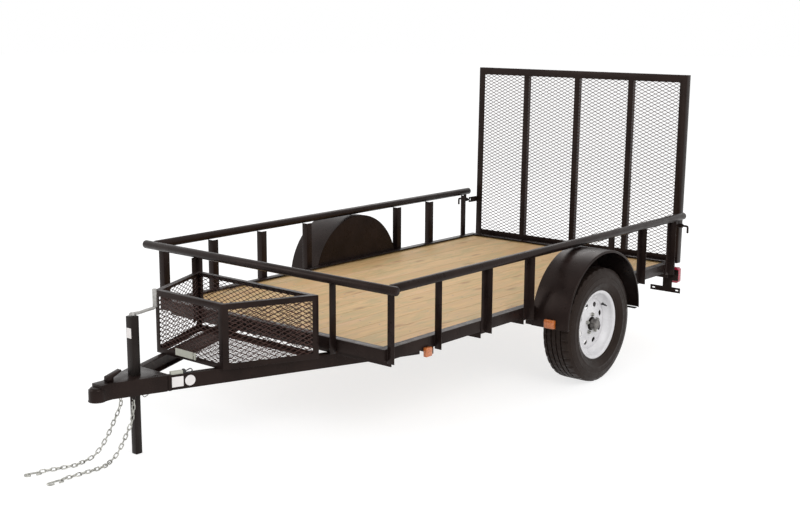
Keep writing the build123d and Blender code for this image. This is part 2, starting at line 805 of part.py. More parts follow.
def latches():
    """Sleeves on flat tabs below the ends of the rail pipes, with bent pins that point at the gate."""
    inner = gate_half_width + ear_wall + latch_pin_gap
    sleeve = around(pipe_y, latch_sleeve_length)
    outer = sleeve[1] + latch_pin_stand
    tab_x = around(latch_pin_x, 2 * latch_sleeve_radius)
    latch = box(tab_x, around(pipe_y, latch_tab_wall), (latch_pin_height, post_top))
    latch += latch_bar(sleeve, latch_sleeve_radius)
    latch += latch_bar((inner, outer), latch_pin_radius)
    handle_y = outer - latch_pin_radius
    handle_low = latch_pin_height - latch_handle_length
    handle = ((latch_pin_x, handle_y, z) for z in (latch_pin_height, handle_low))
    latch += rod(*handle, latch_pin_radius, latch_sides)
    both("gate_latch", latch)


def lamps():
    lamp_y = half_frame - tail_lamp_inset
    lamp_z = frame_bottom - tail_lamp_drop
    face = -frame_length - seat_gap
    wall = (face - lamp_plate_wall, face)
    low = frame_bottom - licence_drop
    neck_y = (lamp_y - licence_neck_width, lamp_y)
    backing = box(wall, around(lamp_y, lamp_plate_width), around(lamp_z, lamp_plate_height))
    backing += box(wall, neck_y, (low, frame_bottom + frame_flange / 2))
    bar_y = half_frame - licence_bar_inset
    bar = box(wall, around(bar_y, licence_bar_width), (low, low + licence_bar_height))
    slot = Plane.YZ * SlotOverall(licence_slot_length, licence_slot_width)
    slot = extrude(slot, tail_lamp_depth, both=True)
    for y in around(bar_y, licence_slot_spacing):
        bar -= Pos(face, y, low + licence_bar_height / 2) * slot
    nodes["lamp_brackets"] = Compound([backing + bar, mirrored(backing)])
    back = wall[0] - seat_gap
    depth = (back - tail_lamp_depth, back)
    lamp = box(depth, around(lamp_y, tail_lamp_width), around(lamp_z, tail_lamp_height))
    lamp = chamfer(lamp.edges().filter_by(Axis.X), tail_lamp_corner)
    nodes["tail_lamps"] = Compound([lamp, mirrored(lamp)])
    y = (half_frame + seat_gap, half_frame + marker_depth)
    z = around(frame_bottom - marker_drop, marker_side)
    side = box(around(-marker_back, marker_side), y, z)
    front_x = axle_x + fender_radius + seat_gap
    y = around(half_frame + fender_marker_out, fender_marker_width)
    z = around(fender_centre_height + fender_marker_rise, marker_side)
    front = box((front_x, front_x + marker_depth), y, z)
    nodes["marker_lamps"] = Compound([side, front, mirrored(side), mirrored(front)])


def chain_link():
    """One link in the XZ plane, its length along Z."""
    half = link_half + link_wire
    wide = link_width / 2
    ring = chamfer(Rectangle(link_width, 2 * half).vertices(), link_wire)
    ring -= Rectangle(2 * (wide - link_wire), 2 * link_half)
    return Pos(0, link_wire / 2, 0) * extrude(Plane.XZ * ring, link_wire)


def along(route, step):
    """Points at equal steps along a route."""
    points = []
    left = 0.0
    for start, end in zip(route, route[1:]):
        run = Vector(*end) - Vector(*start)
        while left < run.length:
            points.append(Vector(*start) + run.normalized() * left)
            left += step
        left -= run.length
    return points


def chain(side, route):
    """A chain from the tab of one side along its route, its first link through the tab's hole."""
    start = (chain_tab_x, side * chain_tab_y, chain_start_z)
    below = (chain_tab_x, side * chain_tab_y, chain_start_z - link_pitch)
    link = chain_link()
    rest = [(coupler_ball_x + x, y, z) for x, y, z in route]
    points = along([start, below, *rest], link_pitch)
    links = []
    for number, point in enumerate(points):
        before = points[max(0, number - 1)]
        after = points[min(len(points) - 1, number + 1)]
        way = (after - before).normalized()
        plane = Plane(origin=point, x_dir=Vector(0, 1, 0) - way * way.Y, z_dir=way)
        roll = link_tilt * min(1.0, number / link_tilt_run) + 90 * (number % 2)
        links.append(plane.location * Rot(0, 0, roll) * link)
    return links + [chain_hook(points[-2], points[-1])]


def chain_hook(before, last):
    """A flat open hook that lies on the ground beyond the last link."""
    way = Vector(last.X - before.X, last.Y - before.Y, 0).normalized()
    outline = Rectangle(hook_length, hook_width)
    outline = chamfer(outline.vertices(), hook_wire)
    outline -= Rectangle(hook_length - 2 * hook_wire, hook_width - 2 * hook_wire)
    outline -= Pos(0, hook_width / 2) * Rectangle(hook_mouth, 2 * hook_wire)
    hook = extrude(outline, hook_wire)
    centre = Vector(last.X, last.Y, 0) + way * (link_half + link_wire + seat_gap + hook_length / 2)
    return Plane(origin=centre, x_dir=way, z_dir=(0, 0, 1)).location * hook


deck_frame()
deck()
posts()
top_rails()
fender()
fender_brackets()
running_gear()
tongue()
coupler()
jack()
basket()
gate()
hinges()
latches()
lamps()
for name, side, route in (("left", 1, chain_route_left), ("right", -1, chain_route_right)):
    nodes["safety_chain_" + name] = Compound(chain(side, route))

# The origin: on the ground below the middle of everything
bounds = [shape.bounding_box() for shape in nodes.values()]
origin_x = (min(each.min.X for each in bounds) + max(each.max.X for each in bounds)) / 2

os.makedirs("parts", exist_ok=True)
for name, shape in nodes.items():
    export_step(Pos(-origin_x, 0, 0) * shape, f"parts/{name}.step")
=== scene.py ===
"""Looks of the utility trailer: paint, timber, rubber, grilles, chains, lamps, studio and camera.
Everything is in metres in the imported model's frame: +X forward, +Y to the trailer's left, +Z up."""
import json
from math import atan, cos, pi, radians, sin

import bmesh
import bpy
from mathutils import Matrix, Vector, noise


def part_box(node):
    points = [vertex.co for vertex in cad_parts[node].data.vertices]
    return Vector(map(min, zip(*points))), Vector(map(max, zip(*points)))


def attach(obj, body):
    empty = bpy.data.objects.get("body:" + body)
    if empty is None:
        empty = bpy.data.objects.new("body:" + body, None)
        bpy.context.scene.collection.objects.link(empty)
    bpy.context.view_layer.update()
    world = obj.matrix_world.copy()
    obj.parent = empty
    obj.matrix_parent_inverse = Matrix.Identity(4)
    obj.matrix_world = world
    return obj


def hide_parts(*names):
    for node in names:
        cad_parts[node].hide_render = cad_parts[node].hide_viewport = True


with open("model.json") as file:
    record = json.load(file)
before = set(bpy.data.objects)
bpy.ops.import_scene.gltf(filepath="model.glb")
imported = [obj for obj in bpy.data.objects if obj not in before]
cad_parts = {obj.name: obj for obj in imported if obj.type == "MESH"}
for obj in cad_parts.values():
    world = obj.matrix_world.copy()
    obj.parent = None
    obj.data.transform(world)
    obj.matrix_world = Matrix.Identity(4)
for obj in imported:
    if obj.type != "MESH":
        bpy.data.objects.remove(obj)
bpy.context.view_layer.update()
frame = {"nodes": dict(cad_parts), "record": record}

# The front face of the deck frame: the part's own sizes are measured from there
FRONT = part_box("frame_rail_left")[1].x

UP = Vector((0, 0, 1))
LEFT = Vector((0, 1, 0))
AHEAD = Vector((1, 0, 0))
SIDES = (("left", 1), ("right", -1))


def at(x, y, z):
    """A point given in millimetres from the middle of the frame's front face at ground level."""
    return Vector((FRONT + x / 1000, y / 1000, z / 1000))


def placed(name, data):
    """A new object of the scene that shows the given data."""
    item = bpy.data.objects.new(name, data)
    bpy.context.scene.collection.objects.link(item)
    return item


# Camera, as fitted to the photograph
CAMERA_PLACE = at(4580.7, 4826.3, 2165.8)
CAMERA_YAW = radians(220.105)
CAMERA_DOWN = radians(10.941)
CAMERA_ROLL = radians(0.267)
CAMERA_LENS = 56.11


def make_camera():
    data = bpy.data.cameras.new("photo_camera")
    data.lens = CAMERA_LENS
    data.sensor_width = 36.0
    data.clip_end = 200.0
    camera = placed("photo_camera", data)
    level = Vector((cos(CAMERA_YAW), sin(CAMERA_YAW), 0))
    ahead = level * cos(CAMERA_DOWN) - UP * sin(CAMERA_DOWN)
    right = ahead.cross(UP).normalized()
    turn = Matrix((right, right.cross(ahead), -ahead)).transposed().to_4x4()
    roll = Matrix.Rotation(CAMERA_ROLL, 4, "Z")
    camera.matrix_world = Matrix.Translation(CAMERA_PLACE) @ turn @ roll
    bpy.context.scene.camera = camera


# Materials
# The Mix node's colour sockets are found by number, because its other types use the same names
MIX_LOW, MIX_HIGH, MIX_RESULT = 6, 7, 2


class Shader:
    """A small builder for node materials that read the model's own coordinates in metres."""

    def __init__(self, name):
        self.material = bpy.data.materials.new(name)
        self.material.use_nodes = True
        self.nodes = self.material.node_tree.nodes
        self.links = self.material.node_tree.links
        self.shader = self.nodes["Principled BSDF"]
        self.place = self.add("TexCoord").outputs["Object"]

    def put(self, socket, value):
        """Gives a socket a value, or a link from another node's output."""
        if hasattr(value, "is_output"):
            self.links.new(value, socket)
        else:
            socket.default_value = value

    def fill(self, node, values):
        """Fills a node's sockets by their names, in which _ stands for a space."""
        for key, value in values.items():
            self.put(node.inputs[key.replace("_", " ")], value)
        return node

    def set(self, **values):
        self.fill(self.shader, values)

    def add(self, kind, **values):
        return self.fill(self.nodes.new("ShaderNode" + kind), values)

    def stretched(self, x, y, z, shift):
        mapping = self.add("Mapping", Scale=(x, y, z), Vector=self.place, Location=shift)
        return mapping.outputs["Vector"]

    def noise(self, scale, detail=4.0, rough=0.55, vector=None, distortion=0.0):
        node = self.add(
            "TexNoise", Scale=scale, Detail=detail, Roughness=rough, Distortion=distortion,
            Vector=vector or self.place)
        return node.outputs["Fac"]

    def voronoi(self, scale, vector=None, dimensions="3D"):
        node = self.add("TexVoronoi", Scale=scale, Vector=vector or self.place)
        node.voronoi_dimensions = dimensions
        return node.outputs["Distance"]

    def ramp(self, value, *stops):
        node = self.add("ValToRGB", Fac=value)
        ramp = node.color_ramp
        while len(ramp.elements) < len(stops):
            ramp.elements.new(0.5)
        for element, (position, grey) in zip(ramp.elements, stops):
            element.position = position
            element.color = (grey, grey, grey, 1)
        return node.outputs["Color"]

    def mix(self, factor, low, high):
        node = self.add("Mix")
        node.data_type = "RGBA"
        self.put(node.inputs["Factor"], factor)
        self.put(node.inputs[MIX_LOW], low)
        self.put(node.inputs[MIX_HIGH], high)
        return node.outputs[MIX_RESULT]

    def math(self, operation, first, second=0.0):
        node = self.add("Math")
        node.operation = operation
        self.put(node.inputs[0], first)
        self.put(node.inputs[1], second)
        return node.outputs[0]

    def bump(self, height, strength, distance):
        node = self.add("Bump", Strength=strength, Distance=distance, Height=height)
        self.set(Normal=node.outputs["Normal"])


def rgb(red, green, blue):
    return (red, green, blue, 1.0)


PLAIN_WHITE = rgb(1.0, 1.0, 1.0)
BROWN_SHEEN = rgb(1.0, 0.8, 0.72)


def paint(name, dark, light, rough=(0.22, 0.42), grain=0.12, gloss=0.16, tint=BROWN_SHEEN):
    """Sprayed paint: patches of two close tones, uneven gloss, orange peel and fine dust."""
    m = Shader(name)
    patches = m.ramp(m.noise(6.0, detail=6.0, rough=0.6), (0.35, 0.0), (0.7, 1.0))
    dusty = [min(1.0, 2.2 * part + 0.02) for part in light[:3]]
    dust = m.ramp(m.noise(240.0, detail=3.0, rough=0.7), (0.62, 0.0), (0.78, 0.35))
    m.set(Base_Color=m.mix(dust, m.mix(patches, dark, light), rgb(*dusty)))
    uneven = m.noise(14.0, detail=5.0, rough=0.65)
    m.set(Roughness=m.ramp(uneven, (0.3, rough[0]), (0.75, rough[1])))
    m.set(Specular_IOR_Level=gloss, Specular_Tint=tint)
    m.bump(m.noise(420.0, detail=2.0), strength=grain, distance=0.0004)
    return m.material


def metal(name, dark, light, rough=(0.25, 0.5)):
    """Plated or bare metal in patches of two tones."""
    m = Shader(name)
    patches = m.ramp(m.noise(55.0, detail=5.0, rough=0.7), (0.3, 0.0), (0.7, 1.0))
    m.set(Base_Color=m.mix(patches, dark, light), Metallic=1.0)
    m.set(Roughness=m.ramp(m.noise(130.0), (0.3, rough[0]), (0.7, rough[1])))
    m.bump(m.noise(600.0, detail=3.0), strength=0.2, distance=0.0003)
    return m.material


PLANK_COUNT = 12
PLANK_GAP = 0.0025
PINE_PALE = (rgb(0.5, 0.31, 0.13), rgb(0.61, 0.41, 0.195))
PINE_GRAIN = rgb(0.42, 0.25, 0.1)
PINE_RINGS = rgb(0.54, 0.32, 0.13)
PINE_GREEN = rgb(0.38, 0.28, 0.115)
PINE_PINK = rgb(0.62, 0.36, 0.24)
PINE_KNOTS = rgb(0.24, 0.115, 0.035)


def plank_pitch():
    """From one board's edge to the next one's."""
    low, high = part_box("deck_planks")
    return (high.y - low.y + PLANK_GAP) / PLANK_COUNT


def timber():
    """Treated pine: long grain, rings, knots, green streaks, pink blush and a tone for each board."""
    m = Shader("treated_pine")
    split = m.add("SeparateXYZ", Vector=m.place)
    side = m.math("SUBTRACT", split.outputs["Y"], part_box("deck_planks")[0].y)
    board = m.math("FLOOR", m.math("DIVIDE", side, plank_pitch()))
    random = m.add("TexWhiteNoise")
    random.noise_dimensions = "1D"
    m.links.new(board, random.inputs["W"])
    offset = m.add("VectorMath")
    offset.operation = "SCALE"
    m.links.new(random.outputs["Color"], offset.inputs[0])
    offset.inputs["Scale"].default_value = 7.0
    shift = offset.outputs[0]
    tone = random.outputs["Value"]
    along = m.stretched(0.09, 1.6, 1.0, shift)
    grain = m.noise(34.0, detail=8.0, rough=0.62, vector=along, distortion=0.35)
    bent = m.stretched(0.16, 1.0, 1.0, shift)
    rings = m.add("TexWave", Scale=11.0, Distortion=5.0, Detail=3.0, Detail_Scale=1.2, Vector=bent)
    rings.wave_type = "RINGS"
    rings.rings_direction = "X"
    pale = m.mix(tone, *PINE_PALE)
    colour = m.mix(m.ramp(grain, (0.32, 0.0), (0.66, 1.0)), PINE_GRAIN, pale)
    colour = m.mix(m.math("MULTIPLY", rings.outputs["Fac"], 0.34), colour, PINE_RINGS)
    long = m.stretched(0.42, 1.7, 1.0, shift)
    streak = m.noise(7.0, detail=6.0, rough=0.62, vector=long, distortion=1.4)
    colour = m.mix(m.ramp(streak, (0.46, 0.0), (0.64, 0.9)), colour, PINE_GREEN)
    blush = m.noise(4.0, detail=3.0, rough=0.5, vector=m.stretched(0.3, 1.4, 1.0, shift))
    colour = m.mix(m.ramp(blush, (0.55, 0.0), (0.75, 0.3)), colour, PINE_PINK)
    spots = m.voronoi(3.4, m.stretched(0.5, 1.5, 1.0, shift), "2D")
    knots = m.ramp(spots, (0.03, 1.0), (0.12, 0.0))
    colour = m.mix(m.math("MULTIPLY", knots, 0.62), colour, PINE_KNOTS)
    m.set(Base_Color=colour, Roughness=m.ramp(grain, (0.2, 0.5), (0.8, 0.7)))
    m.bump(grain, strength=0.35, distance=0.0012)
    return m.material


def rubber():
    """Tyre rubber in two close tones with a fine grain."""
    m = Shader("tyre_rubber")
    dark = rgb(0.009, 0.006, 0.0048)
    light = rgb(0.022, 0.015, 0.0122)
    m.set(Base_Color=m.mix(m.noise(9.0, detail=5.0, rough=0.6), dark, light))
    m.set(Roughness=m.ramp(m.noise(40.0), (0.3, 0.36), (0.7, 0.55)))
    m.set(Specular_IOR_Level=0.16, Specular_Tint=BROWN_SHEEN)
    m.bump(m.noise(700.0, detail=3.0), strength=0.25, distance=0.0004)
    return m.material


def lens(name, deep, bright):
    """A lamp's lens with moulded cells under a clear skin."""
    m = Shader(name)
    cells = m.voronoi(150.0)
    m.set(Base_Color=m.mix(m.ramp(cells, (0.1, 0.0), (0.6, 1.0)), deep, bright), Roughness=0.16)
    m.set(Coat_Weight=0.6, Coat_Roughness=0.06)
    m.bump(cells, strength=0.35, distance=0.001)
    return m.material


def plastic(name, dark, light, rough=0.5):
    """Moulded plastic or film."""
    m = Shader(name)
    m.set(Base_Color=m.mix(m.noise(30.0), dark, light))
    m.set(Roughness=m.ramp(m.noise(90.0), (0.3, rough - 0.08), (0.7, rough + 0.1)))
    m.bump(m.noise(800.0, detail=2.0), strength=0.2, distance=0.0002)
    return m.material


BLACK = paint("black_enamel", rgb(0.0078, 0.0047, 0.0042), rgb(0.0175, 0.0108, 0.0095))
MATT_BLACK = paint(
    "black_grille_paint", rgb(0.036, 0.018, 0.015), rgb(0.074, 0.04, 0.034),
    rough=(0.34, 0.5), grain=0.2)
# Black paint of the hub and the jack; the same material on the rim's inner half and well is painted
# shade on a white rim
BLACK_PAINT_AND_RIM_SHADE = paint(
    "black_paint_and_rim_shade", rgb(0.009, 0.0075, 0.007), rgb(0.019, 0.016, 0.015),
    rough=(0.25, 0.45), grain=0.2)
WHITE = paint(
    "white_wheel_enamel", rgb(0.64, 0.63, 0.645), rgb(0.76, 0.75, 0.76),
    rough=(0.2, 0.34), grain=0.06, gloss=0.5, tint=PLAIN_WHITE)
PINE = timber()
RUBBER = rubber()
ZINC = metal("zinc_plate", rgb(0.17, 0.17, 0.155), rgb(0.64, 0.63, 0.58))
CRANK_ZINC = metal("dull_zinc", rgb(0.26, 0.25, 0.24), rgb(0.5, 0.49, 0.47), (0.4, 0.6))
STEEL = metal("worn_steel", rgb(0.09, 0.085, 0.08), rgb(0.28, 0.265, 0.25))
RED = lens("red_lens", rgb(0.16, 0.003, 0.012), rgb(0.42, 0.012, 0.045))
AMBER = lens("amber_lens", rgb(0.3, 0.06, 0.01), rgb(0.56, 0.16, 0.035))
LABEL = plastic("blank_label", rgb(0.7, 0.66, 0.65), rgb(0.82, 0.79, 0.77))
PALE_PLASTIC = plastic("pale_plastic", rgb(0.42, 0.42, 0.35), rgb(0.56, 0.56, 0.49), 0.45)
BLACK_PLASTIC = plastic("black_plastic", rgb(0.012, 0.012, 0.012), rgb(0.03, 0.03, 0.03), 0.45)


# Helpers for pieces
SOFT_ANGLE = radians(34)
SHARP_ANGLE = radians(25)


def finish_piece(name, mesh, material, body="trailer", slot="frame", nodes=()):
    """Makes a piece of a mesh, which rides on a body and stands for CAD nodes."""
    mesh.materials.clear()
    mesh.materials.append(material)
    for polygon in mesh.polygons:
        polygon.use_smooth = True
    mesh.set_sharp_from_angle(angle=SOFT_ANGLE)
    piece = placed(name, mesh)
    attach(piece, body)
    if nodes:
        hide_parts(*nodes)


def to_mesh(name, work):
    """A mesh with its faces turned outwards, made of a bmesh that isn't used again."""
    mesh = bpy.data.meshes.new(name)
    bmesh.ops.recalc_face_normals(work, faces=work.faces)
    work.to_mesh(mesh)
    work.free()
    return mesh


def from_bmesh(name, work, material, **details):
    """A piece made of a bmesh; the details are those of finish_piece."""
    finish_piece(name, to_mesh(name, work), material, **details)


def bevelled(work, width, segments=2):
    """Rounds the sharp edges of a bmesh in place."""
    edges = [e for e in work.edges if len(e.link_faces) == 2 and e.calc_face_angle(0) > SHARP_ANGLE]
    bmesh.ops.bevel(
        work, geom=edges, offset=width, offset_type="OFFSET", segments=segments, profile=0.5,
        affect="EDGES", clamp_overlap=True)


def dressed(node, material, slot, body, width):
    """A copy of a CAD node with its sharp edges rounded, which stands for the node."""
    work = bmesh.new()
    work.from_mesh(frame["nodes"][node].data)
    bmesh.ops.remove_doubles(work, verts=work.verts, dist=1e-6)
    bmesh.ops.dissolve_limit(work, angle_limit=radians(1.0), verts=work.verts, edges=work.edges)
    bevelled(work, width)
    from_bmesh(node + "_dressed", work, material, body=body, slot=slot, nodes=(node,))


def pair(centre, size):
    """The (low, high) pair of a size about its centre."""
    return centre - size / 2, centre + size / 2


def add_box(work, x, y, z, turn=None):
    """Adds a box given by three (low, high) pairs to a bmesh, moved by a matrix if there is one."""
    corners = [Vector((x[i], y[j], z[k])) for i in (0, 1) for j in (0, 1) for k in (0, 1)]
    if turn is not None:
        corners = [turn @ corner for corner in corners]
    v = [work.verts.new(corner) for corner in corners]
    for ids in ((0, 1, 3, 2), (4, 6, 7, 5), (0, 4, 5, 1), (2, 3, 7, 6), (0, 2, 6, 4), (1, 5, 7, 3)):
        work.faces.new([v[i] for i in ids])


def join_rings(work, first, second):
    """Faces between two rings of equal length, or between a ring and a single point."""
    count = max(len(first), len(second))
    for i in range(count):
        j = (i + 1) % count
        if len(first) == 1 and len(second) > 1:
            work.faces.new((first[0], second[i], second[j]))
        elif len(second) == 1 and len(first) > 1:
            work.faces.new((first[i], first[j], second[0]))
        elif len(first) > 1:
            work.faces.new((first[i], first[j], second[j], second[i]))


def join_all(work, rings, closed=False):
    """Faces between each ring and the next, and between the last and the first if closed."""
    for first, second in zip(rings, rings[1:] + rings[:1] if closed else rings[1:]):
        join_rings(work, first, second)


def add_caps(work, rings):
    """A face in each ring."""
    for ring in rings:
        work.faces.new(ring)


def add_tube(work, points, radius, sides):
    """A bar of round section along points, capped at both ends."""
    angles = [2 * pi * i / sides for i in range(sides)]
    rings = []
    side = None
    for number, point in enumerate(points):
        before = points[max(0, number - 1)]
        after = points[min(len(points) - 1, number + 1)]
        way = (after - before).normalized()
        if side is None:
            side = way.orthogonal()
        side = (side - way * side.dot(way)).normalized()
        up = side.cross(way)
        rings.append([work.verts.new(point + (side * cos(a) + up * sin(a)) * radius) for a in angles])
    join_all(work, rings)
    add_caps(work, (rings[0], rings[-1]))


def rounded(points, radius, steps=6):
    """A path through points with its corners rounded off."""
    path = [points[0]]
    for before, corner, after in zip(points, points[1:], points[2:]):
        start = corner + (before - corner).normalized() * radius
        end = corner + (after - corner).normalized() * radius
        for number in range(steps + 1):
            t = number / steps
            path.append(start * (1 - t) ** 2 + corner * 2 * t * (1 - t) + end * t ** 2)
    path.append(points[-1])
    return path


def add_turned(work, outline, centre, axis, sides, closed=False):
    """Turns an outline of (radius, along) about an axis through centre; radius 0 closes a pole."""
    axis = axis.normalized()
    side = axis.orthogonal().normalized()
    other = axis.cross(side)
    angles = [2 * pi * i / sides for i in range(sides)]
    ways = [side * cos(a) + other * sin(a) for a in angles]
    rings = []
    for radius, along in outline:
        middle = centre + axis * along
        if radius < 1e-7:
            rings.append([work.verts.new(middle)])
            continue
        rings.append([work.verts.new(middle + way * radius) for way in ways])
    join_all(work, rings, closed)


def turned_piece(name, outline, centre, axis, material, sides=48, closed=False, **details):
    """A piece made of one turned outline; the details are those of finish_piece."""
    work = bmesh.new()
    add_turned(work, outline, centre, axis, sides, closed)
    from_bmesh(name, work, material, **details)


def capped(radius, length, soft):
    """The outline of a round bar with soft ends."""
    return (
        (0, 0), (radius - soft, 0), (radius - 0.3 * soft, 0.3 * soft), (radius, soft),
        (radius, length - soft), (radius - 0.3 * soft, length - 0.3 * soft), (radius - soft, length),
        (0, length))


make_camera()


# Deck: boards, and screw rows over the crossmembers in millimetres behind the frame's front face
PLANK_EDGE = 0.0022
SCREW_ROWS = (85, 425, 845, 1262, 2182, 2563, 2985)
SCREW_SHARES = (0.25, 0.75)
SCREW_WANDER = 0.004
SCREW_HEAD = ((0.0, -0.0012), (0.0028, -0.0012), (0.0034, 0.0002), (0.0052, 0.0002), (0.0058, -0.0016))


def deck_boards():
    low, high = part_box("deck_planks")
    pitch = plank_pitch()
    work = bmesh.new()
    for number in range(PLANK_COUNT):
        start = low.y + number * pitch
        add_box(work, (low.x, high.x), (start, start + pitch - PLANK_GAP), (low.z, high.z))
    bevelled(work, PLANK_EDGE)
    from_bmesh("deck_boards", work, PINE, slot="planks", nodes=("deck_planks",))


def deck_screws():
    """Two screws in each board on each crossmember, each a little off its row."""
    low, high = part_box("deck_planks")
    pitch = plank_pitch()
    work = bmesh.new()
    for back in SCREW_ROWS:
        for number in range(PLANK_COUNT):
            for share in SCREW_SHARES:
                y = low.y + number * pitch + share * (pitch - PLANK_GAP)
                wander = SCREW_WANDER * noise.noise(Vector((back, y * 20, 3)))
                centre = Vector((FRONT - back / 1000 + wander, y + wander, high.z))
                add_turned(work, SCREW_HEAD, centre, UP, sides=10)
    from_bmesh("deck_screws", work, STEEL, slot="zinc")


# Expanded metal: diamonds of 52 by 24 mm, whose strands leave the bonds a little before their ends
MESH_LONG = 0.0523
MESH_SHORT = 0.0241
MESH_STRAND = 0.0031
MESH_WALL = 0.0022
MESH_BOND = 0.011
MESH_BOND_HALF_WIDTH = MESH_STRAND * 0.9
MESH_LEAVE = MESH_BOND * 0.42
MESH_TURN = radians(38)


def clip(start, end, edges):
    """The part of a 2-D line inside a convex outline, given as edges of (point, inward normal)."""
    low, high = 0.0, 1.0
    run = end - start
    for point, inward in edges:
        reach = (start - point).dot(inward)
        gain = run.dot(inward)
        if abs(gain) < 1e-12:
            if reach < 0:
                return None
            continue
        share = -reach / gain
        if gain > 0:
            low = max(low, share)
        else:
            high = min(high, share)
    if high - low < 1e-3:
        return None
    return start + run * low, start + run * high


def add_strand(work, place, ends, half, turn, closed):
    """A flat strand between two points of the grille's plane, turned about its own line."""
    way = (ends[1] - ends[0]).normalized()
    across = Vector((-way.y, way.x))
    if across.y < 0:
        across = -across
    ring = []
    for point in ends:
        for side, lift in ((1, 1), (-1, 1), (-1, -1), (1, -1)):
            a = side * half
            b = lift * MESH_WALL / 2
            flat = point + across * (a * cos(turn) - b * sin(turn))
            ring.append(work.verts.new(place(flat.x, flat.y, a * sin(turn) + b * cos(turn))))
    rings = (ring[:4], ring[4:])
    join_rings(work, *rings)
    if closed:
        add_caps(work, rings)


def grille_piece(name, node, origin, along, up, outline, body="trailer"):
    """Expanded metal over a convex outline of (along, up) points counter-clockwise from origin."""
    work = bmesh.new()
    outward = along.cross(up)

    def place(u, v, depth):
        return origin + along * u + up * v + outward * depth

    corners = [Vector(point) for point in outline]
    edges = []
    for first, second in zip(corners, corners[1:] + corners[:1]):
        way = (second - first).normalized()
        edges.append((first, Vector((-way.y, way.x))))
    steps = (MESH_LONG / 2, MESH_SHORT / 2)
    lows = [int(min(c[i] for c in corners) / steps[i]) - 2 for i in (0, 1)]
    highs = [int(max(c[i] for c in corners) / steps[i]) + 3 for i in (0, 1)]
    for i in range(lows[0], highs[0]):
        for j in range(lows[1], highs[1]):
            if (i + j) % 2:
                continue
            bond = Vector((i * steps[0], j * steps[1]))
            half = Vector((MESH_BOND / 2, 0))
            kept = clip(bond - half, bond + half, edges)
            if kept is not None:
                add_strand(work, place, kept, MESH_BOND_HALF_WIDTH, MESH_TURN / 2, True)
            for slope in (1, -1):
                start = bond + Vector((MESH_LEAVE, slope * MESH_STRAND / 2))
                end = bond + Vector((steps[0] - MESH_LEAVE, slope * (steps[1] - MESH_STRAND / 2)))
                kept = clip(start, end, edges)
                if kept is not None:
                    add_strand(work, place, kept, MESH_STRAND / 2, MESH_TURN, False)
    from_bmesh(name, work, MATT_BLACK, body=body, slot="grille", nodes=(node,))


# The gate leans back a little at rest, and the basket's panels are 3 mm thick
GATE_LEAN = radians(1.0)
BASKET_WALL = 0.003


def gate_grille():
    low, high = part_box("gate_mesh")
    up = Vector((-sin(GATE_LEAN), 0, cos(GATE_LEAN)))
    half = (high.z - low.z) / 2
    outline = ((low.y, -half), (high.y, -half), (high.y, half), (low.y, half))
    grille_piece("gate_grille", "gate_mesh", (low + high) / 2, LEFT, up, outline, body="gate")


def basket_grilles():
    for name in ("back", "front", "side_left", "side_right"):
        node = "basket_" + name
        low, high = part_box(node)
        if name in ("back", "front"):
            start = Vector(((low.x + high.x) / 2, low.y, low.z))
            end = Vector(((low.x + high.x) / 2, high.y, low.z))
        else:
            sign = 1 if name == "side_left" else -1
            outer, inner = (high.y, low.y) if sign > 0 else (low.y, high.y)
            start = Vector((low.x, outer - sign * BASKET_WALL / 2, low.z))
            end = Vector((high.x, inner + sign * BASKET_WALL / 2, low.z))
        run = end - start
        height = high.z - low.z
        outline = ((0, 0), (run.length, 0), (run.length, height), (0, height))
        grille_piece("basket_grille_" + name, node, start, run.normalized(), UP, outline)
    points = [v.co for v in frame["nodes"]["basket_floor"].data.vertices]
    low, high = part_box("basket_floor")
    back_half = max(p.y for p in points if p.x < low.x + 0.001)
    front_half = max(p.y for p in points if p.x > high.x - 0.001)
    length = high.x - low.x
    outline = ((-back_half, 0), (back_half, 0), (front_half, length), (-front_half, length))
    start = Vector((low.x, 0, (low.z + high.z) / 2))
    grille_piece("basket_grille_floor", "basket_floor", start, -LEFT, AHEAD, outline)


# Wheels: places along the axle are measured from the wheel's middle, outwards
DISC_FACE = 0.034
DISC_WALL = 0.004
HUB_INNER_END = -0.0603
STUD_COUNT = 5
STUD_CIRCLE = 0.05715
STUD_TURN = radians(18)
VENT_COUNT = 8
VENT_CIRCLE = 0.118
VENT_HALF_LONG = 0.0185
VENT_HALF_WIDE = 0.0145
VENT_CORNER = 0.0125
VENT_CORNER_STEPS = 4
VENT_REACH = 0.03
VALVE_CIRCLE = 0.164
VALVE_TURN = radians(143)
VALVE_SEAT = 0.022
WELL_OUTER = 0.16
WELL_INNER = 0.1556
WELL_HALF = 0.016
WHEEL_SIDES = 96


def wheel_centre(name):
    low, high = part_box("tyre_" + name)
    return (low + high) / 2


# Half of the tyre's section from the bead out, in (radius, side), with a rim guard and moulded rings
TYRE_WALL = (
    (0.1905, 0.0715), (0.205, 0.0735), (0.212, 0.08), (0.2155, 0.0835), (0.219, 0.0835),
    (0.222, 0.0865), (0.236, 0.0955), (0.252, 0.1005), (0.2535, 0.1013), (0.2565, 0.1013),
    (0.258, 0.1005), (0.27, 0.1017), (0.286, 0.101), (0.2875, 0.1022), (0.2905, 0.102),
    (0.292, 0.1003), (0.305, 0.0985), (0.3195, 0.0935), (0.3215, 0.0945), (0.326, 0.0925),
    (0.332, 0.0885), (0.3375, 0.0855))
TREAD_HALF = 0.0825
TREAD_FLAT = 0.066
TREAD_GROOVES = (-0.059, -0.027, 0.005, 0.037)
GROOVE = ((0.0002, -0.0045), (0.0072, -0.0032), (0.0072, 0.0032), (0.0002, 0.0045))
TREAD_STEPS = 216
TREAD_EVERY = 6
TREAD_TOP = 0.004
RIB_START = -0.1
RIB_WIDTH = 0.032
RIB_SHIFT = 2
INNER_RIBS = 0.06
RIB_CUT = 0.0045
SHOULDER_CUT = 0.0065
LUG_RADIUS = 0.331
LUG_SIDE = 0.08
LUG_CUT = 0.003


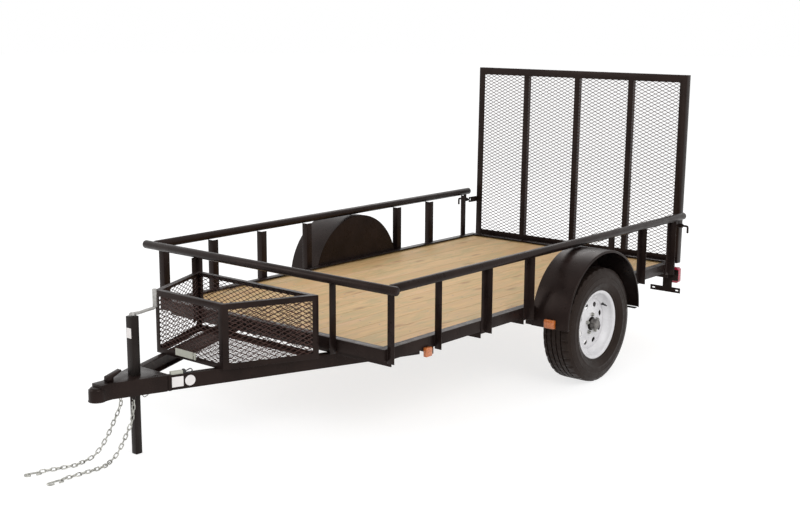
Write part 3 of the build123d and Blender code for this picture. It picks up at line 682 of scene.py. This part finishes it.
def tread_cut(number, radius, side, outer):
    """How deep a cross cut is at a step round the tyre: in the ribs, and in lugs on the shoulders."""
    if radius > outer - TREAD_TOP:
        rib = int((side - RIB_START) / RIB_WIDTH)
        if (number + rib * RIB_SHIFT) % TREAD_EVERY == 0:
            return RIB_CUT if abs(side) < INNER_RIBS else SHOULDER_CUT
    elif radius > LUG_RADIUS and abs(side) > LUG_SIDE and number % TREAD_EVERY == 0:
        return LUG_CUT
    return 0.0


def tyre_piece(name, side):
    """The tyre's skin from bead to bead, with grooves between the ribs and cuts across them."""
    centre = wheel_centre(name)
    outer = centre.z
    wall = [*TYRE_WALL, (outer - 0.0022, TREAD_HALF), (outer - 0.0004, TREAD_FLAT)]
    outline = [(r, -s) for r, s in wall]
    for groove in TREAD_GROOVES:
        outline += [(outer - depth, groove + step) for depth, step in GROOVE]
    outline += wall[::-1]
    work = bmesh.new()
    rings = []
    for number in range(TREAD_STEPS):
        turn = 2 * pi * number / TREAD_STEPS
        way = Vector((cos(turn), 0, sin(turn)))
        ring = []
        for r, s in outline:
            cut = tread_cut(number, r, s, outer)
            ring.append(work.verts.new(centre + way * (r - cut) + LEFT * s * side))
        rings.append(ring)
    join_all(work, rings, closed=True)
    node = "tyre_" + name
    from_bmesh("tyre_tread_" + name, work, RUBBER, body="wheel_" + name, slot="tyre", nodes=(node,))


# Half of the rim in (radius, side): from its flange down its outside to the well, and back inside
BARREL = (
    (0.2035, 0.076), (0.2062, 0.0756), (0.2074, 0.0738), (0.207, 0.0716), (0.194, 0.0706),
    (0.1903, 0.069), (0.1896, 0.0513), (WELL_OUTER, 0.024), (WELL_OUTER, WELL_HALF),
    (WELL_INNER, WELL_HALF), (0.156, 0.0225), (0.179, 0.044), (0.1845, 0.056),
    (0.1862, 0.066), (0.1895, 0.0715), (0.1945, 0.0742), (0.201, 0.0757))
WELL = (
    (WELL_OUTER, -WELL_HALF), (WELL_OUTER, WELL_HALF), (WELL_INNER, WELL_HALF),
    (WELL_INNER, -WELL_HALF))
# The pressed disc's outer face in (radius, side from DISC_FACE): flat round the hub, dished outside
DISC = (
    (0.0418, -0.0004), (0.043, 0.0), (0.076, 0.0), (0.082, -0.0012), (0.096, -0.0068),
    (0.104, -0.009), (0.132, -0.0112), (0.143, -0.0128), (0.157, -0.017))


def vent_cutters(centre, side):
    """Rounded bars through the disc at each of its vents."""
    work = bmesh.new()
    for number in range(VENT_COUNT):
        turn = 2 * pi * (number + 0.5) / VENT_COUNT
        out = Vector((cos(turn), 0, sin(turn)))
        round_way = Vector((-sin(turn), 0, cos(turn)))
        middle = centre + out * VENT_CIRCLE + LEFT * side * DISC_FACE
        rings = ([], [])
        for a, b, start in ((1, 1, 0), (-1, 1, 1), (-1, -1, 2), (1, -1, 3)):
            for step in range(VENT_CORNER_STEPS + 1):
                angle = pi / 2 * (start + step / VENT_CORNER_STEPS)
                along = a * (VENT_HALF_LONG - VENT_CORNER) + VENT_CORNER * cos(angle)
                away = b * (VENT_HALF_WIDE - VENT_CORNER) + VENT_CORNER * sin(angle)
                for ring, depth in zip(rings, (-VENT_REACH, VENT_REACH)):
                    ring.append(work.verts.new(middle + round_way * along + out * away + LEFT * depth))
        join_rings(work, *rings)
        add_caps(work, rings)
    return work


def cut_away(name, work, cutters):
    """The mesh of one bmesh with another cut out of it."""
    holders = []
    for part, each in (("_whole", work), ("_cutter", cutters)):
        holders.append(placed(name + part, to_mesh(name + part, each)))
    modifier = holders[0].modifiers.new("cut", "BOOLEAN")
    modifier.operation = "DIFFERENCE"
    modifier.solver = "EXACT"
    modifier.object = holders[1]
    graph = bpy.context.evaluated_depsgraph_get()
    mesh = bpy.data.meshes.new_from_object(holders[0].evaluated_get(graph))
    for holder in holders:
        bpy.data.objects.remove(holder)
    mesh.name = name
    return mesh


def rim_piece(name, side):
    """The white disc with its vents and the barrel's outer half; the barrel's inner half and the well
    between them are black, as painted shade.
    """
    centre = wheel_centre(name)
    axis = LEFT * side
    details = {"body": "wheel_" + name, "slot": "rim", "nodes": ("rim_" + name,)}
    outline = [(r, DISC_FACE + s) for r, s in DISC]
    outline += [(r, s - DISC_WALL) for r, s in outline[::-1]]
    disc = bmesh.new()
    add_turned(disc, outline, centre, axis, WHEEL_SIDES, closed=True)
    mesh = cut_away("rim_disc_" + name, disc, vent_cutters(centre, side))
    finish_piece("rim_disc_" + name, mesh, WHITE, **details)
    # The barrel's inner half and the well are painted black as painted shade: on the real wheel they
    # are white like the rest of the rim
    parts = (
        ("rim_dish_", BARREL, axis, WHITE), ("rim_back_painted_shade_", BARREL, -axis, BLACK_PAINT_AND_RIM_SHADE),
        ("rim_well_painted_shade_", WELL, axis, BLACK_PAINT_AND_RIM_SHADE))
    for part, outline, way, material in parts:
        turned_piece(part + name, outline, centre, way, material, WHEEL_SIDES, closed=True, **details)


def hub_piece(name, side):
    """The black hub, the pressed cap on it, chamfered lug nuts and the valve stem."""
    centre = wheel_centre(name)
    axis = LEFT * side
    wheel = "wheel_" + name
    hub = (
        (0.0195, HUB_INNER_END), (0.033, HUB_INNER_END), (0.035, HUB_INNER_END + 0.002),
        (0.035, 0.004), (0.04, 0.0168), (0.072, 0.0168), (0.073, 0.0178), (0.073, 0.0276),
        (0.0405, 0.0277), (0.04, 0.036), (0.0392, 0.0375), (0.0345, 0.038), (0.0338, 0.042),
        (0.0, 0.042))
    turned_piece(
        "hub_body_" + name, hub, centre, axis, BLACK_PAINT_AND_RIM_SHADE, sides=64, body=wheel, slot="hub",
        nodes=("hub_" + name,))
    cap = (
        (0.0318, 0.0415), (0.0318, 0.064), (0.0326, 0.066), (0.0326, 0.0685), (0.0316, 0.07),
        (0.0305, 0.0745), (0.0262, 0.0765), (0.0255, 0.0752), (0.012, 0.0758), (0.0, 0.076))
    turned_piece("dust_cap_" + name, cap, centre, axis, STEEL, sides=64, body=wheel, slot="zinc")
    nut = (
        (0.0112, 0.0004), (0.0116, 0.003), (0.0098, 0.005), (0.0098, 0.0135), (0.0082, 0.0165),
        (0.005, 0.0195), (0.0, 0.0203))
    work = bmesh.new()
    for number in range(STUD_COUNT):
        angle = 2 * pi * number / STUD_COUNT + STUD_TURN
        way = Vector((cos(angle), 0, sin(angle) * side))
        seat = centre + way * STUD_CIRCLE + axis * DISC_FACE
        add_turned(work, nut, seat, axis, sides=6)
    from_bmesh("lug_nuts_" + name, work, ZINC, body=wheel, slot="zinc")
    way = Vector((cos(VALVE_TURN), 0, sin(VALVE_TURN)))
    stem = (
        (0.009, 0.0), (0.009, 0.008), (0.0058, 0.012), (0.0052, 0.03), (0.0044, 0.031),
        (0.0044, 0.041), (0.0, 0.0415))
    seat = centre + way * VALVE_CIRCLE + axis * VALVE_SEAT
    lean = axis * 0.9 - way * 0.25
    turned_piece(
        "valve_stem_" + name, stem, seat, lean, BLACK_PLASTIC, sides=16, body=wheel, slot="hub")


# Fenders: the rolled lip in (inwards from the drum's outside, outwards from its plain part's end)
FENDER_LIP = (
    (0.0, -0.004), (0.0008, -0.001), (0.0026, 0.0018), (0.005, 0.003), (0.013, 0.003),
    (0.0145, 0.0015), (0.013, 0.0), (0.0075, -0.0002), (0.0045, -0.002), (0.003, -0.006))
FENDER_WALL = 0.003
FENDER_STEPS = 96


def fender_piece(name, side):
    """A half drum with a rolled lip and a plate on the frame's side."""
    low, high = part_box("fender_" + name)
    outer = (high.x - low.x) / 2
    centre = Vector(((low.x + high.x) / 2, low.y if side > 0 else high.y, low.z))
    lip = high.y - low.y - FENDER_WALL
    skin = [(outer, 0)] + [(outer - a, lip + b) for a, b in FENDER_LIP] + [(outer - FENDER_WALL, 0)]
    work = bmesh.new()
    rings = []
    plates = ([], [])
    for number in range(FENDER_STEPS + 1):
        angle = pi * number / FENDER_STEPS
        way = Vector((cos(angle), 0, sin(angle)))
        rings.append([work.verts.new(centre + way * r + LEFT * side * s) for r, s in skin])
        for plate, depth in zip(plates, (0, FENDER_WALL)):
            edge = centre + way * (outer - FENDER_WALL / 2)
            plate.append(work.verts.new(edge + LEFT * side * depth))
    join_all(work, rings)
    add_caps(work, (rings[0], rings[-1]))
    join_rings(work, *plates)
    add_caps(work, plates)
    from_bmesh("fender_skin_" + name, work, BLACK, nodes=("fender_" + name,))


# U bolts over the springs, and the plates under the axle that they pass through
BOLT_WIRE = 0.0055
BOLT_GAP = 0.007
BOLT_STEP = 0.037
BOLT_BELOW = 0.014
PLATE_LENGTH = 0.1
PLATE_WALL = 0.007
PLATE_REACH = 0.018
PLATE_DROP = 0.036


def axle_piece():
    """The axle's tube and spindles, with U bolts over the springs."""
    low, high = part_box("axle")
    centre = (low + high) / 2
    end = high.y
    tube = wheel_centre("left").y + HUB_INNER_END - 0.004
    half = [
        (0.0, end), (0.0155, end), (0.0175, end - 0.002), (0.0175, tube), (0.028, tube),
        (0.03, tube - 0.002)]
    outline = half + [(r, -s) for r, s in half[::-1]]
    turned_piece("axle_beam", outline, centre, LEFT, BLACK, nodes=("axle",))
    work = bmesh.new()
    for name in ("left", "right"):
        low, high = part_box("leaf_spring_" + name)
        under = centre.z - PLATE_DROP
        legs = (low.y - BOLT_GAP, high.y + BOLT_GAP)
        top, bottom = high.z + BOLT_GAP, under - BOLT_BELOW
        corners = ((legs[0], bottom), (legs[0], top), (legs[1], top), (legs[1], bottom))
        for step in (-BOLT_STEP, BOLT_STEP):
            points = [Vector((centre.x + step, y, z)) for y, z in corners]
            add_tube(work, rounded(points, BOLT_GAP, steps=4), BOLT_WIRE, sides=10)
        across = (low.y - PLATE_REACH, high.y + PLATE_REACH)
        add_box(work, pair(centre.x, PLATE_LENGTH), across, (under - PLATE_WALL, under))
    from_bmesh("spring_bolts", work, BLACK)


def rails():
    """Pipe rails with soft ends."""
    low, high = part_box("top_rail_front")
    radius = (high.z - low.z) / 2
    start = Vector(((low.x + high.x) / 2, low.y, (low.z + high.z) / 2))
    pipe = capped(radius, high.y - low.y, soft=0.008)
    turned_piece("front_pipe", pipe, start, LEFT, BLACK, nodes=("top_rail_front",))
    for name in ("left", "right"):
        node = "top_rail_" + name
        low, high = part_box(node)
        start = Vector((low.x, (low.y + high.y) / 2, (low.z + high.z) / 2))
        pipe = capped(radius, high.x - low.x, soft=0.003)
        turned_piece("side_pipe_" + name, pipe, start, AHEAD, BLACK, nodes=(node,))


# Gate latches
LATCH_TAB = 0.006
LATCH_SLEEVE = 0.044
LATCH_PIN = 0.007
LATCH_DROP = 0.06


def latch_piece(name, side):
    """A sleeve on its tab below the rail, with a bent pin through it."""
    node = "gate_latch_" + name
    low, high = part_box(node)
    x = (low.x + high.x) / 2
    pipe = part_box("top_rail_" + name)
    pipe_y = (pipe[0].y + pipe[1].y) / 2
    z = (pipe[0].z + pipe[1].z) / 2 - LATCH_DROP
    work = bmesh.new()
    half = (high.x - low.x) / 2
    add_box(work, pair(x, 2 * half), pair(pipe_y, LATCH_TAB), (z, high.z))
    bevelled(work, width=0.0012)
    start = Vector((x, pipe_y - LATCH_SLEEVE / 2, z))
    add_turned(work, capped(half, LATCH_SLEEVE, soft=0.0015), start, LEFT, sides=32)
    inner, outer = (low.y, high.y) if side > 0 else (high.y, low.y)
    bend_y = outer - side * LATCH_PIN
    points = [Vector((x, inner, z)), Vector((x, bend_y, z)), Vector((x, bend_y, low.z))]
    add_tube(work, rounded(points, radius=0.012), LATCH_PIN, sides=16)
    from_bmesh("latch_pin_" + name, work, BLACK, nodes=(node,))


# Jack
CRANK_WIRE = 0.0082
CRANK_RISE = 0.0095
GRIP_INSET = 0.012
GRIP_RADIUS = 0.0115


def jack_crank():
    """The grey crank: a knob on the shaft, a bent arm and an upright grip."""
    low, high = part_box("jack_crank")
    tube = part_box("jack_tube")
    x = (tube[0].x + tube[1].x) / 2
    top = tube[1].z
    grip_x = low.x + GRIP_INSET
    arm = top + CRANK_RISE
    work = bmesh.new()
    knob = (
        (0.009, -0.011), (0.009, 0.0004), (0.0152, 0.0006), (0.0165, 0.004), (0.016, 0.011),
        (0.012, 0.0155), (0.0, 0.0165))
    add_turned(work, knob, Vector((x, 0, top)), UP, sides=32)
    bends = (
        (0.004, arm), (-0.05, arm - 0.001), (-0.085, arm + 0.003),
        (grip_x - x + 0.004, arm + 0.006))
    points = [Vector((x + step, 0, z)) for step, z in bends]
    points.append(Vector((grip_x, 0, arm + 0.02)))
    add_tube(work, rounded(points, radius=0.01, steps=4), CRANK_WIRE, sides=14)
    start = Vector((grip_x, 0, arm + 0.012))
    add_turned(work, capped(GRIP_RADIUS, high.z - start.z, soft=0.0015), start, UP, sides=28)
    from_bmesh("crank_handle", work, CRANK_ZINC, body="jack_crank", slot="zinc", nodes=("jack_crank",))


# The jack's label and pull pin: the wire's path is in (ahead, out, above the ground)
JACK_LABEL_HEIGHTS = (0.597, 0.648)
LABEL_EDGE = 0.0002
PULL_PIN_HEIGHT = 0.318
PULL_WIRE = 0.0022
PULL_WIRE_PATH = (
    (0.0, 0.0, 0.318), (0.0, 0.03, 0.316), (-0.012, 0.036, 0.3), (-0.04, 0.03, 0.306),
    (-0.052, 0.018, 0.322), (-0.03, 0.006, 0.32))


def jack_fittings():
    """A blank label on the jack's tube, and the pull pin with its wire loop."""
    low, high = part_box("jack_tube")
    work = bmesh.new()
    across = (low.y + 0.003, high.y - 0.006)
    add_box(work, (high.x + 0.0001, high.x + 0.0006), across, JACK_LABEL_HEIGHTS)
    bevelled(work, LABEL_EDGE, segments=1)
    from_bmesh("jack_label", work, LABEL, slot="jack")
    x = (low.x + high.x) / 2
    y = high.y
    work = bmesh.new()
    points = [Vector((x + a, y + b, z)) for a, b, z in PULL_WIRE_PATH]
    add_tube(work, rounded(points, radius=0.006, steps=4), PULL_WIRE, sides=8)
    start = Vector((x, y - 0.001, PULL_PIN_HEIGHT))
    add_turned(work, capped(radius=0.006, length=0.02, soft=0.001), start, LEFT, sides=16)
    from_bmesh("jack_pull_pin", work, ZINC, slot="zinc")


# Coupler
NOSE_BACK = 0.0416


def coupler_nose():
    """The smooth pressed dome over the ball socket."""
    low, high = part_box("coupler")
    centre = Vector((high.x - NOSE_BACK, 0, low.z))
    dome = (
        (0.0262, 0.0), (0.0438, 0.0), (0.0446, 0.003), (0.0418, 0.006), (0.0418, 0.046),
        (0.0398, 0.056), (0.0353, 0.0635), (0.028, 0.0675), (0.016, 0.0692), (0.0, 0.0698))
    turned_piece("coupler_nose", dome, centre, UP, BLACK, sides=64)


# Blank labels and the plug on the tongue: the left beam and the places along it are in millimetres,
# the sizes of the pieces are in metres
TONGUE_HALF_AT_FRAME = 430.0
TONGUE_HALF_AT_END = 63.4
TONGUE_RUN = 965.0
TONGUE_SLOPE = (TONGUE_HALF_AT_FRAME - TONGUE_HALF_AT_END) / TONGUE_RUN
BEAM_TOP = 402.2
LABEL_FILM = (0.0002, 0.0008)
SQUARE_LABEL_PLACE = (736, 367)
ROUND_LABEL_PLACE = (675, 366)
ROUND_LABEL_RADIUS = 0.027
SQUARE_LABEL_WIDTH = (-0.03, 0.03)
SQUARE_LABEL_HEIGHT = (-0.026, 0.026)
PLUG_X, CLIP_X, LEAD_X = 735, 697, 672
LEAD_RADIUS = 0.0028


def on_beam(x, z):
    """A place on the left beam's outer face: local X along the beam, local Y out of it."""
    point = at(x, TONGUE_HALF_AT_FRAME - TONGUE_SLOPE * x, z)
    return Matrix.Translation(point) @ Matrix.Rotation(-atan(TONGUE_SLOPE), 4, "Z")


def tongue_labels():
    work = bmesh.new()
    place = on_beam(*SQUARE_LABEL_PLACE)
    add_box(work, SQUARE_LABEL_WIDTH, LABEL_FILM, SQUARE_LABEL_HEIGHT, place)
    bevelled(work, LABEL_EDGE, segments=1)
    from_bmesh("square_label", work, LABEL, slot="jack")
    place = on_beam(*ROUND_LABEL_PLACE)
    axis = place.to_3x3() @ LEFT
    under, top = LABEL_FILM
    disc = (
        (0.0, top), (ROUND_LABEL_RADIUS - 0.0005, top), (ROUND_LABEL_RADIUS, under), (0.0, under))
    turned_piece("round_label", disc, place.translation, axis, LABEL, slot="jack")


# The blank plate on the basket: (low, high) across the trailer for both parts, and above the ground
DOCUMENT_PARTS = ((-0.103, 0.032), (0.04, 0.053))
DOCUMENT_HEIGHTS = (0.417, 0.453)


def document_plate():
    """A pale plate and its end piece on the basket's front bar."""
    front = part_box("basket_frame")[1].x
    work = bmesh.new()
    for across in DOCUMENT_PARTS:
        add_box(work, (front + 0.0002, front + 0.005), across, DOCUMENT_HEIGHTS)
    bevelled(work, width=0.0015)
    from_bmesh("document_plate", work, PALE_PLASTIC, slot="jack")


def wiring_plug():
    """A pale flat plug parked in a clip on top of the left beam, with the end of its lead."""
    work = bmesh.new()
    add_box(work, (-0.031, 0.031), (-0.034, -0.01), (0.0003, 0.015), on_beam(PLUG_X, BEAM_TOP))
    bevelled(work, width=0.003)
    from_bmesh("plug_body", work, PALE_PLASTIC, slot="jack")
    work = bmesh.new()
    add_box(work, (-0.006, 0.006), (-0.037, -0.007), (0.0003, 0.0175), on_beam(CLIP_X, BEAM_TOP))
    bevelled(work, width=0.002)
    place = on_beam(LEAD_X, BEAM_TOP)
    lead = (
        (0.03, -0.02, 0.008), (0.01, -0.026, 0.01), (-0.006, -0.02, 0.02),
        (-0.014, -0.01, 0.012), (0.0, -0.004, 0.004), (0.018, -0.01, 0.003))
    points = [place @ Vector(point) for point in lead]
    add_tube(work, rounded(points, radius=0.006, steps=4), LEAD_RADIUS, sides=10)
    from_bmesh("plug_clip", work, BLACK_PLASTIC, slot="jack")


# Chains: the part's own routes in millimetres, in (x from the ball's centre, y, z); a point without z
# lies on the ground
BALL_X = 1109.0
LINK_PITCH = 25.4
LINK_PLAY = 0.6
LINK_WIRE = 6.0
LINK_BEND = 0.0078
LINK_BEND_STEPS = 7
LINK_SIDES = 8
LINK_TILT = radians(45)
LINK_TILT_RUN = 8
CHAIN_LIE = 11.8
CHAIN_TAB_X = 935.0
CHAIN_TAB_Y = 50.0
CHAIN_START_Z = 287.13
CHAIN_ROUTES = {
    "left": (
        (-164, 46, 190), (-134, 38, 128), (-104, 26, 64), (-75, 20, 26), (-39, 26), (7, 52),
        (51, 58), (106, 56), (181, 49), (253, 43)),
    "right": (
        (-159, -50, 230), (-129, -50, 180), (-94, -52, 122), (-54, -56, 66), (-9, -64, 26),
        (37, -76), (98, -64), (141, -78), (192, -94), (253, -117)),
}
HOOK_LENGTH = 84.0
HOOK_WIDTH = 35.0
HOOK_WIRE = 9.0
HOOK_MOUTH = 26.0
HOOK_END = 89.3


def link_places(route, step):
    """Points along a route, a step apart on each straight part and carried over its corners."""
    places = []
    left = 0.0
    for start, end in zip(route, route[1:]):
        run = (end - start).length
        way = (end - start).normalized()
        while left < run:
            places.append(start + way * left)
            left += step
        left -= run
    return places


def add_link(work, place):
    """One welded link: two straight wires and two bends, lengthwise along local Z."""
    wire = LINK_WIRE / 2000
    straight = (LINK_PITCH + LINK_PLAY) / 2000 + wire * 0.85 - LINK_BEND
    points = []
    for sign, start in ((1, 0), (-1, pi)):
        for number in range(LINK_BEND_STEPS):
            angle = start + pi * number / (LINK_BEND_STEPS - 1)
            points.append(Vector((LINK_BEND * cos(angle), 0, sign * straight + LINK_BEND * sin(angle))))
    turns = [2 * pi * i / LINK_SIDES for i in range(LINK_SIDES)]
    rings = []
    count = len(points)
    for number, point in enumerate(points):
        way = (points[(number + 1) % count] - points[(number - 1) % count]).normalized()
        up = LEFT.cross(way)
        rings.append([
            work.verts.new(place @ (point + LEFT * wire * cos(a) + up * wire * sin(a))) for a in turns])
    join_all(work, rings, closed=True)


def add_hook(work, before, last):
    """An open hook that lies on the ground with its closed end through the last link."""
    way = Vector((last.x - before.x, last.y - before.y, 0)).normalized()
    side = UP.cross(way)
    reach = HOOK_END - HOOK_LENGTH / 2
    centre = Vector((last.x, last.y, HOOK_WIRE / 2000)) + way * reach / 1000
    long = (HOOK_LENGTH - HOOK_WIRE) / 2
    wide = (HOOK_WIDTH - HOOK_WIRE) / 2
    lip = HOOK_MOUTH / 2
    corners = ((lip, wide), (long, wide), (long, -wide), (-long, -wide), (-long, wide), (-lip, wide))
    points = [centre + way * a / 1000 + side * b / 1000 for a, b in corners]
    add_tube(work, rounded(points, wide * 0.8 / 1000), HOOK_WIRE / 2000, sides=12)


def chains():
    for name, side in SIDES:
        start = at(CHAIN_TAB_X, side * CHAIN_TAB_Y, CHAIN_START_Z)
        below = at(CHAIN_TAB_X, side * CHAIN_TAB_Y, CHAIN_START_Z - LINK_PITCH)
        route = [start, below]
        for x, y, *z in CHAIN_ROUTES[name]:
            route.append(at(BALL_X + x, y, z[0] if z else CHAIN_LIE))
        places = link_places(route, LINK_PITCH / 1000)
        work = bmesh.new()
        for number, point in enumerate(places):
            before, after = places[max(0, number - 1)], places[min(len(places) - 1, number + 1)]
            way = (after - before).normalized()
            across = (LEFT - way * way.y).normalized()
            turn = Matrix((across, way.cross(across), way)).transposed().to_4x4()
            roll = LINK_TILT * min(1.0, number / LINK_TILT_RUN) + pi / 2 * (number % 2)
            add_link(work, Matrix.Translation(point) @ turn @ Matrix.Rotation(roll, 4, "Z"))
        add_hook(work, places[-2], places[-1])
        from_bmesh("chain_links_" + name, work, ZINC, slot="zinc", nodes=("safety_chain_" + name,))


# Welds: short rippled beads where the posts stand on the frame
WELD_STEPS = 9
WELD_STEP = 0.006
WELD_TOP = 0.004
WELD_RADIUS = 0.0028
WELD_OUT = 0.0012
WELD_RIPPLE = 0.0008


def weld_beads():
    work = bmesh.new()
    for name, side in SIDES:
        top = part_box("frame_rail_" + name)[1].z
        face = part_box("frame_rail_" + name)[1 if side > 0 else 0].y
        mesh = frame["nodes"]["posts_" + name].data
        feet = sorted({round(v.co.x, 4) for v in mesh.vertices if v.co.z < top - 0.05})
        for x in feet:
            points = []
            for number in range(WELD_STEPS):
                out = WELD_OUT + WELD_RIPPLE * (number % 2)
                points.append(Vector((x, face + side * out, top - WELD_TOP - WELD_STEP * number)))
            add_tube(work, points, WELD_RADIUS, sides=8)
    from_bmesh("weld_beads", work, BLACK)


# Studio: the floor's shares of plain white and of its own glow where it is seen, the world's light on
# surfaces and its white behind them, and the lights as (name, place, size, power)
FLOOR_RADIUS = 60.0
FLOOR_PAPER = 0.62
FLOOR_GLOW = 0.35
WORLD_LIGHT = 0.78
WORLD_WHITE = 1.0
LIGHTS_AIM = Vector((0, 0, 0.5))
STUDIO_LIGHTS = (
    ("key_softbox", (3.0, 6.5, 6.5), 5.0, 260.0), ("fill_softbox", (6.5, -4.5, 4.5), 4.0, 110.0),
    ("rear_softbox", (-6.0, -3.0, 6.0), 5.0, 170.0))


def seen_directly(nodes, links):
    """1 for rays from the camera, reflections and glass, and 0 for the light on surfaces."""
    path = nodes.new("ShaderNodeLightPath")
    seen = path.outputs["Is Camera Ray"]
    for name in ("Is Glossy Ray", "Is Transmission Ray"):
        larger = nodes.new("ShaderNodeMath")
        larger.operation = "MAXIMUM"
        links.new(seen, larger.inputs[0])
        links.new(path.outputs[name], larger.inputs[1])
        seen = larger.outputs[0]
    return seen


def show_mix(nodes, links, share, first, second, end):
    """Shows a share of a second shader over the first one."""
    choice = nodes.new("ShaderNodeMixShader")
    for socket, output in zip(choice.inputs, (share, first.outputs[0], second.outputs[0])):
        links.new(output, socket)
    links.new(choice.outputs[0], nodes[end].inputs["Surface"])


def white_world():
    """Soft light from all sides on surfaces, and plain white behind the trailer."""
    world = bpy.data.worlds.new("studio")
    bpy.context.scene.world = world
    world.use_nodes = True
    nodes = world.node_tree.nodes
    links = world.node_tree.links
    around = nodes["Background"]
    behind = nodes.new("ShaderNodeBackground")
    for shader, strength in ((around, WORLD_LIGHT), (behind, WORLD_WHITE)):
        shader.inputs["Color"].default_value = PLAIN_WHITE
        shader.inputs["Strength"].default_value = strength
    show_mix(nodes, links, seen_directly(nodes, links), around, behind, "World Output")


def floor_paper():
    """White paper that keeps a soft shadow: seen directly, it is part paper and part plain white."""
    m = Shader("floor_paper")
    paper = m.mix(m.noise(0.8, detail=3.0), rgb(0.91, 0.91, 0.91), rgb(0.93, 0.93, 0.93))
    m.set(Base_Color=paper, Roughness=0.9)
    m.set(Emission_Color=PLAIN_WHITE)
    m.set(Emission_Strength=m.math("MULTIPLY", seen_directly(m.nodes, m.links), FLOOR_GLOW))
    share = m.math("MULTIPLY", seen_directly(m.nodes, m.links), FLOOR_PAPER)
    plain = m.add("Emission", Color=PLAIN_WHITE)
    show_mix(m.nodes, m.links, share, m.shader, plain, "Material Output")
    return m.material


def studio():
    white_world()
    work = bmesh.new()
    bmesh.ops.create_circle(work, cap_ends=True, radius=FLOOR_RADIUS, segments=96)
    floor = placed("studio_floor", to_mesh("studio_floor", work))
    floor.data.materials.append(floor_paper())
    for name, place, size, power in STUDIO_LIGHTS:
        data = bpy.data.lights.new(name, "AREA")
        data.shape = "SQUARE"
        data.size = size
        data.energy = power
        light = placed(name, data)
        light.location = place
        light.rotation_euler = (LIGHTS_AIM - light.location).to_track_quat("-Z", "Y").to_euler()


bpy.context.scene.view_settings.view_transform = "Standard"
studio()
deck_boards()
deck_screws()
gate_grille()
basket_grilles()
for name, side in SIDES:
    tyre_piece(name, side)
    rim_piece(name, side)
    hub_piece(name, side)
    fender_piece(name, side)
    latch_piece(name, side)
axle_piece()
rails()
jack_crank()
jack_fittings()
coupler_nose()
tongue_labels()
document_plate()
wiring_plug()
chains()
weld_beads()

BODIES = frame["record"]["behaviour"]["bodies"]
BODY_OF = {node: body for body, members in BODIES.items() for node in members}
REPLACED = (
    "deck_planks", "gate_mesh", "tyre_", "rim_", "hub_", "fender_left", "fender_right", "gate_latch_",
    "axle", "top_rail_", "jack_crank", "safety_chain_", "basket_back", "basket_front", "basket_side_",
    "basket_floor")
# Columns: start of the node's name, material, slot, width of the rounded edges
FINISHES = (
    ("tail_lamps", RED, "red_lens", 0.005), ("marker_lamps", AMBER, "amber_lens", 0.004),
    ("jack", BLACK_PAINT_AND_RIM_SHADE, "jack", 0.003), ("coupler", BLACK, "frame", 0.003),
    ("tongue", BLACK, "frame", 0.003), ("", BLACK, "frame", 0.0014))
for node in sorted(frame["nodes"]):
    if node.startswith(REPLACED):
        continue
    material, slot, width = next(row[1:] for row in FINISHES if node.startswith(row[0]))
    dressed(node, material, slot, BODY_OF[node], width)
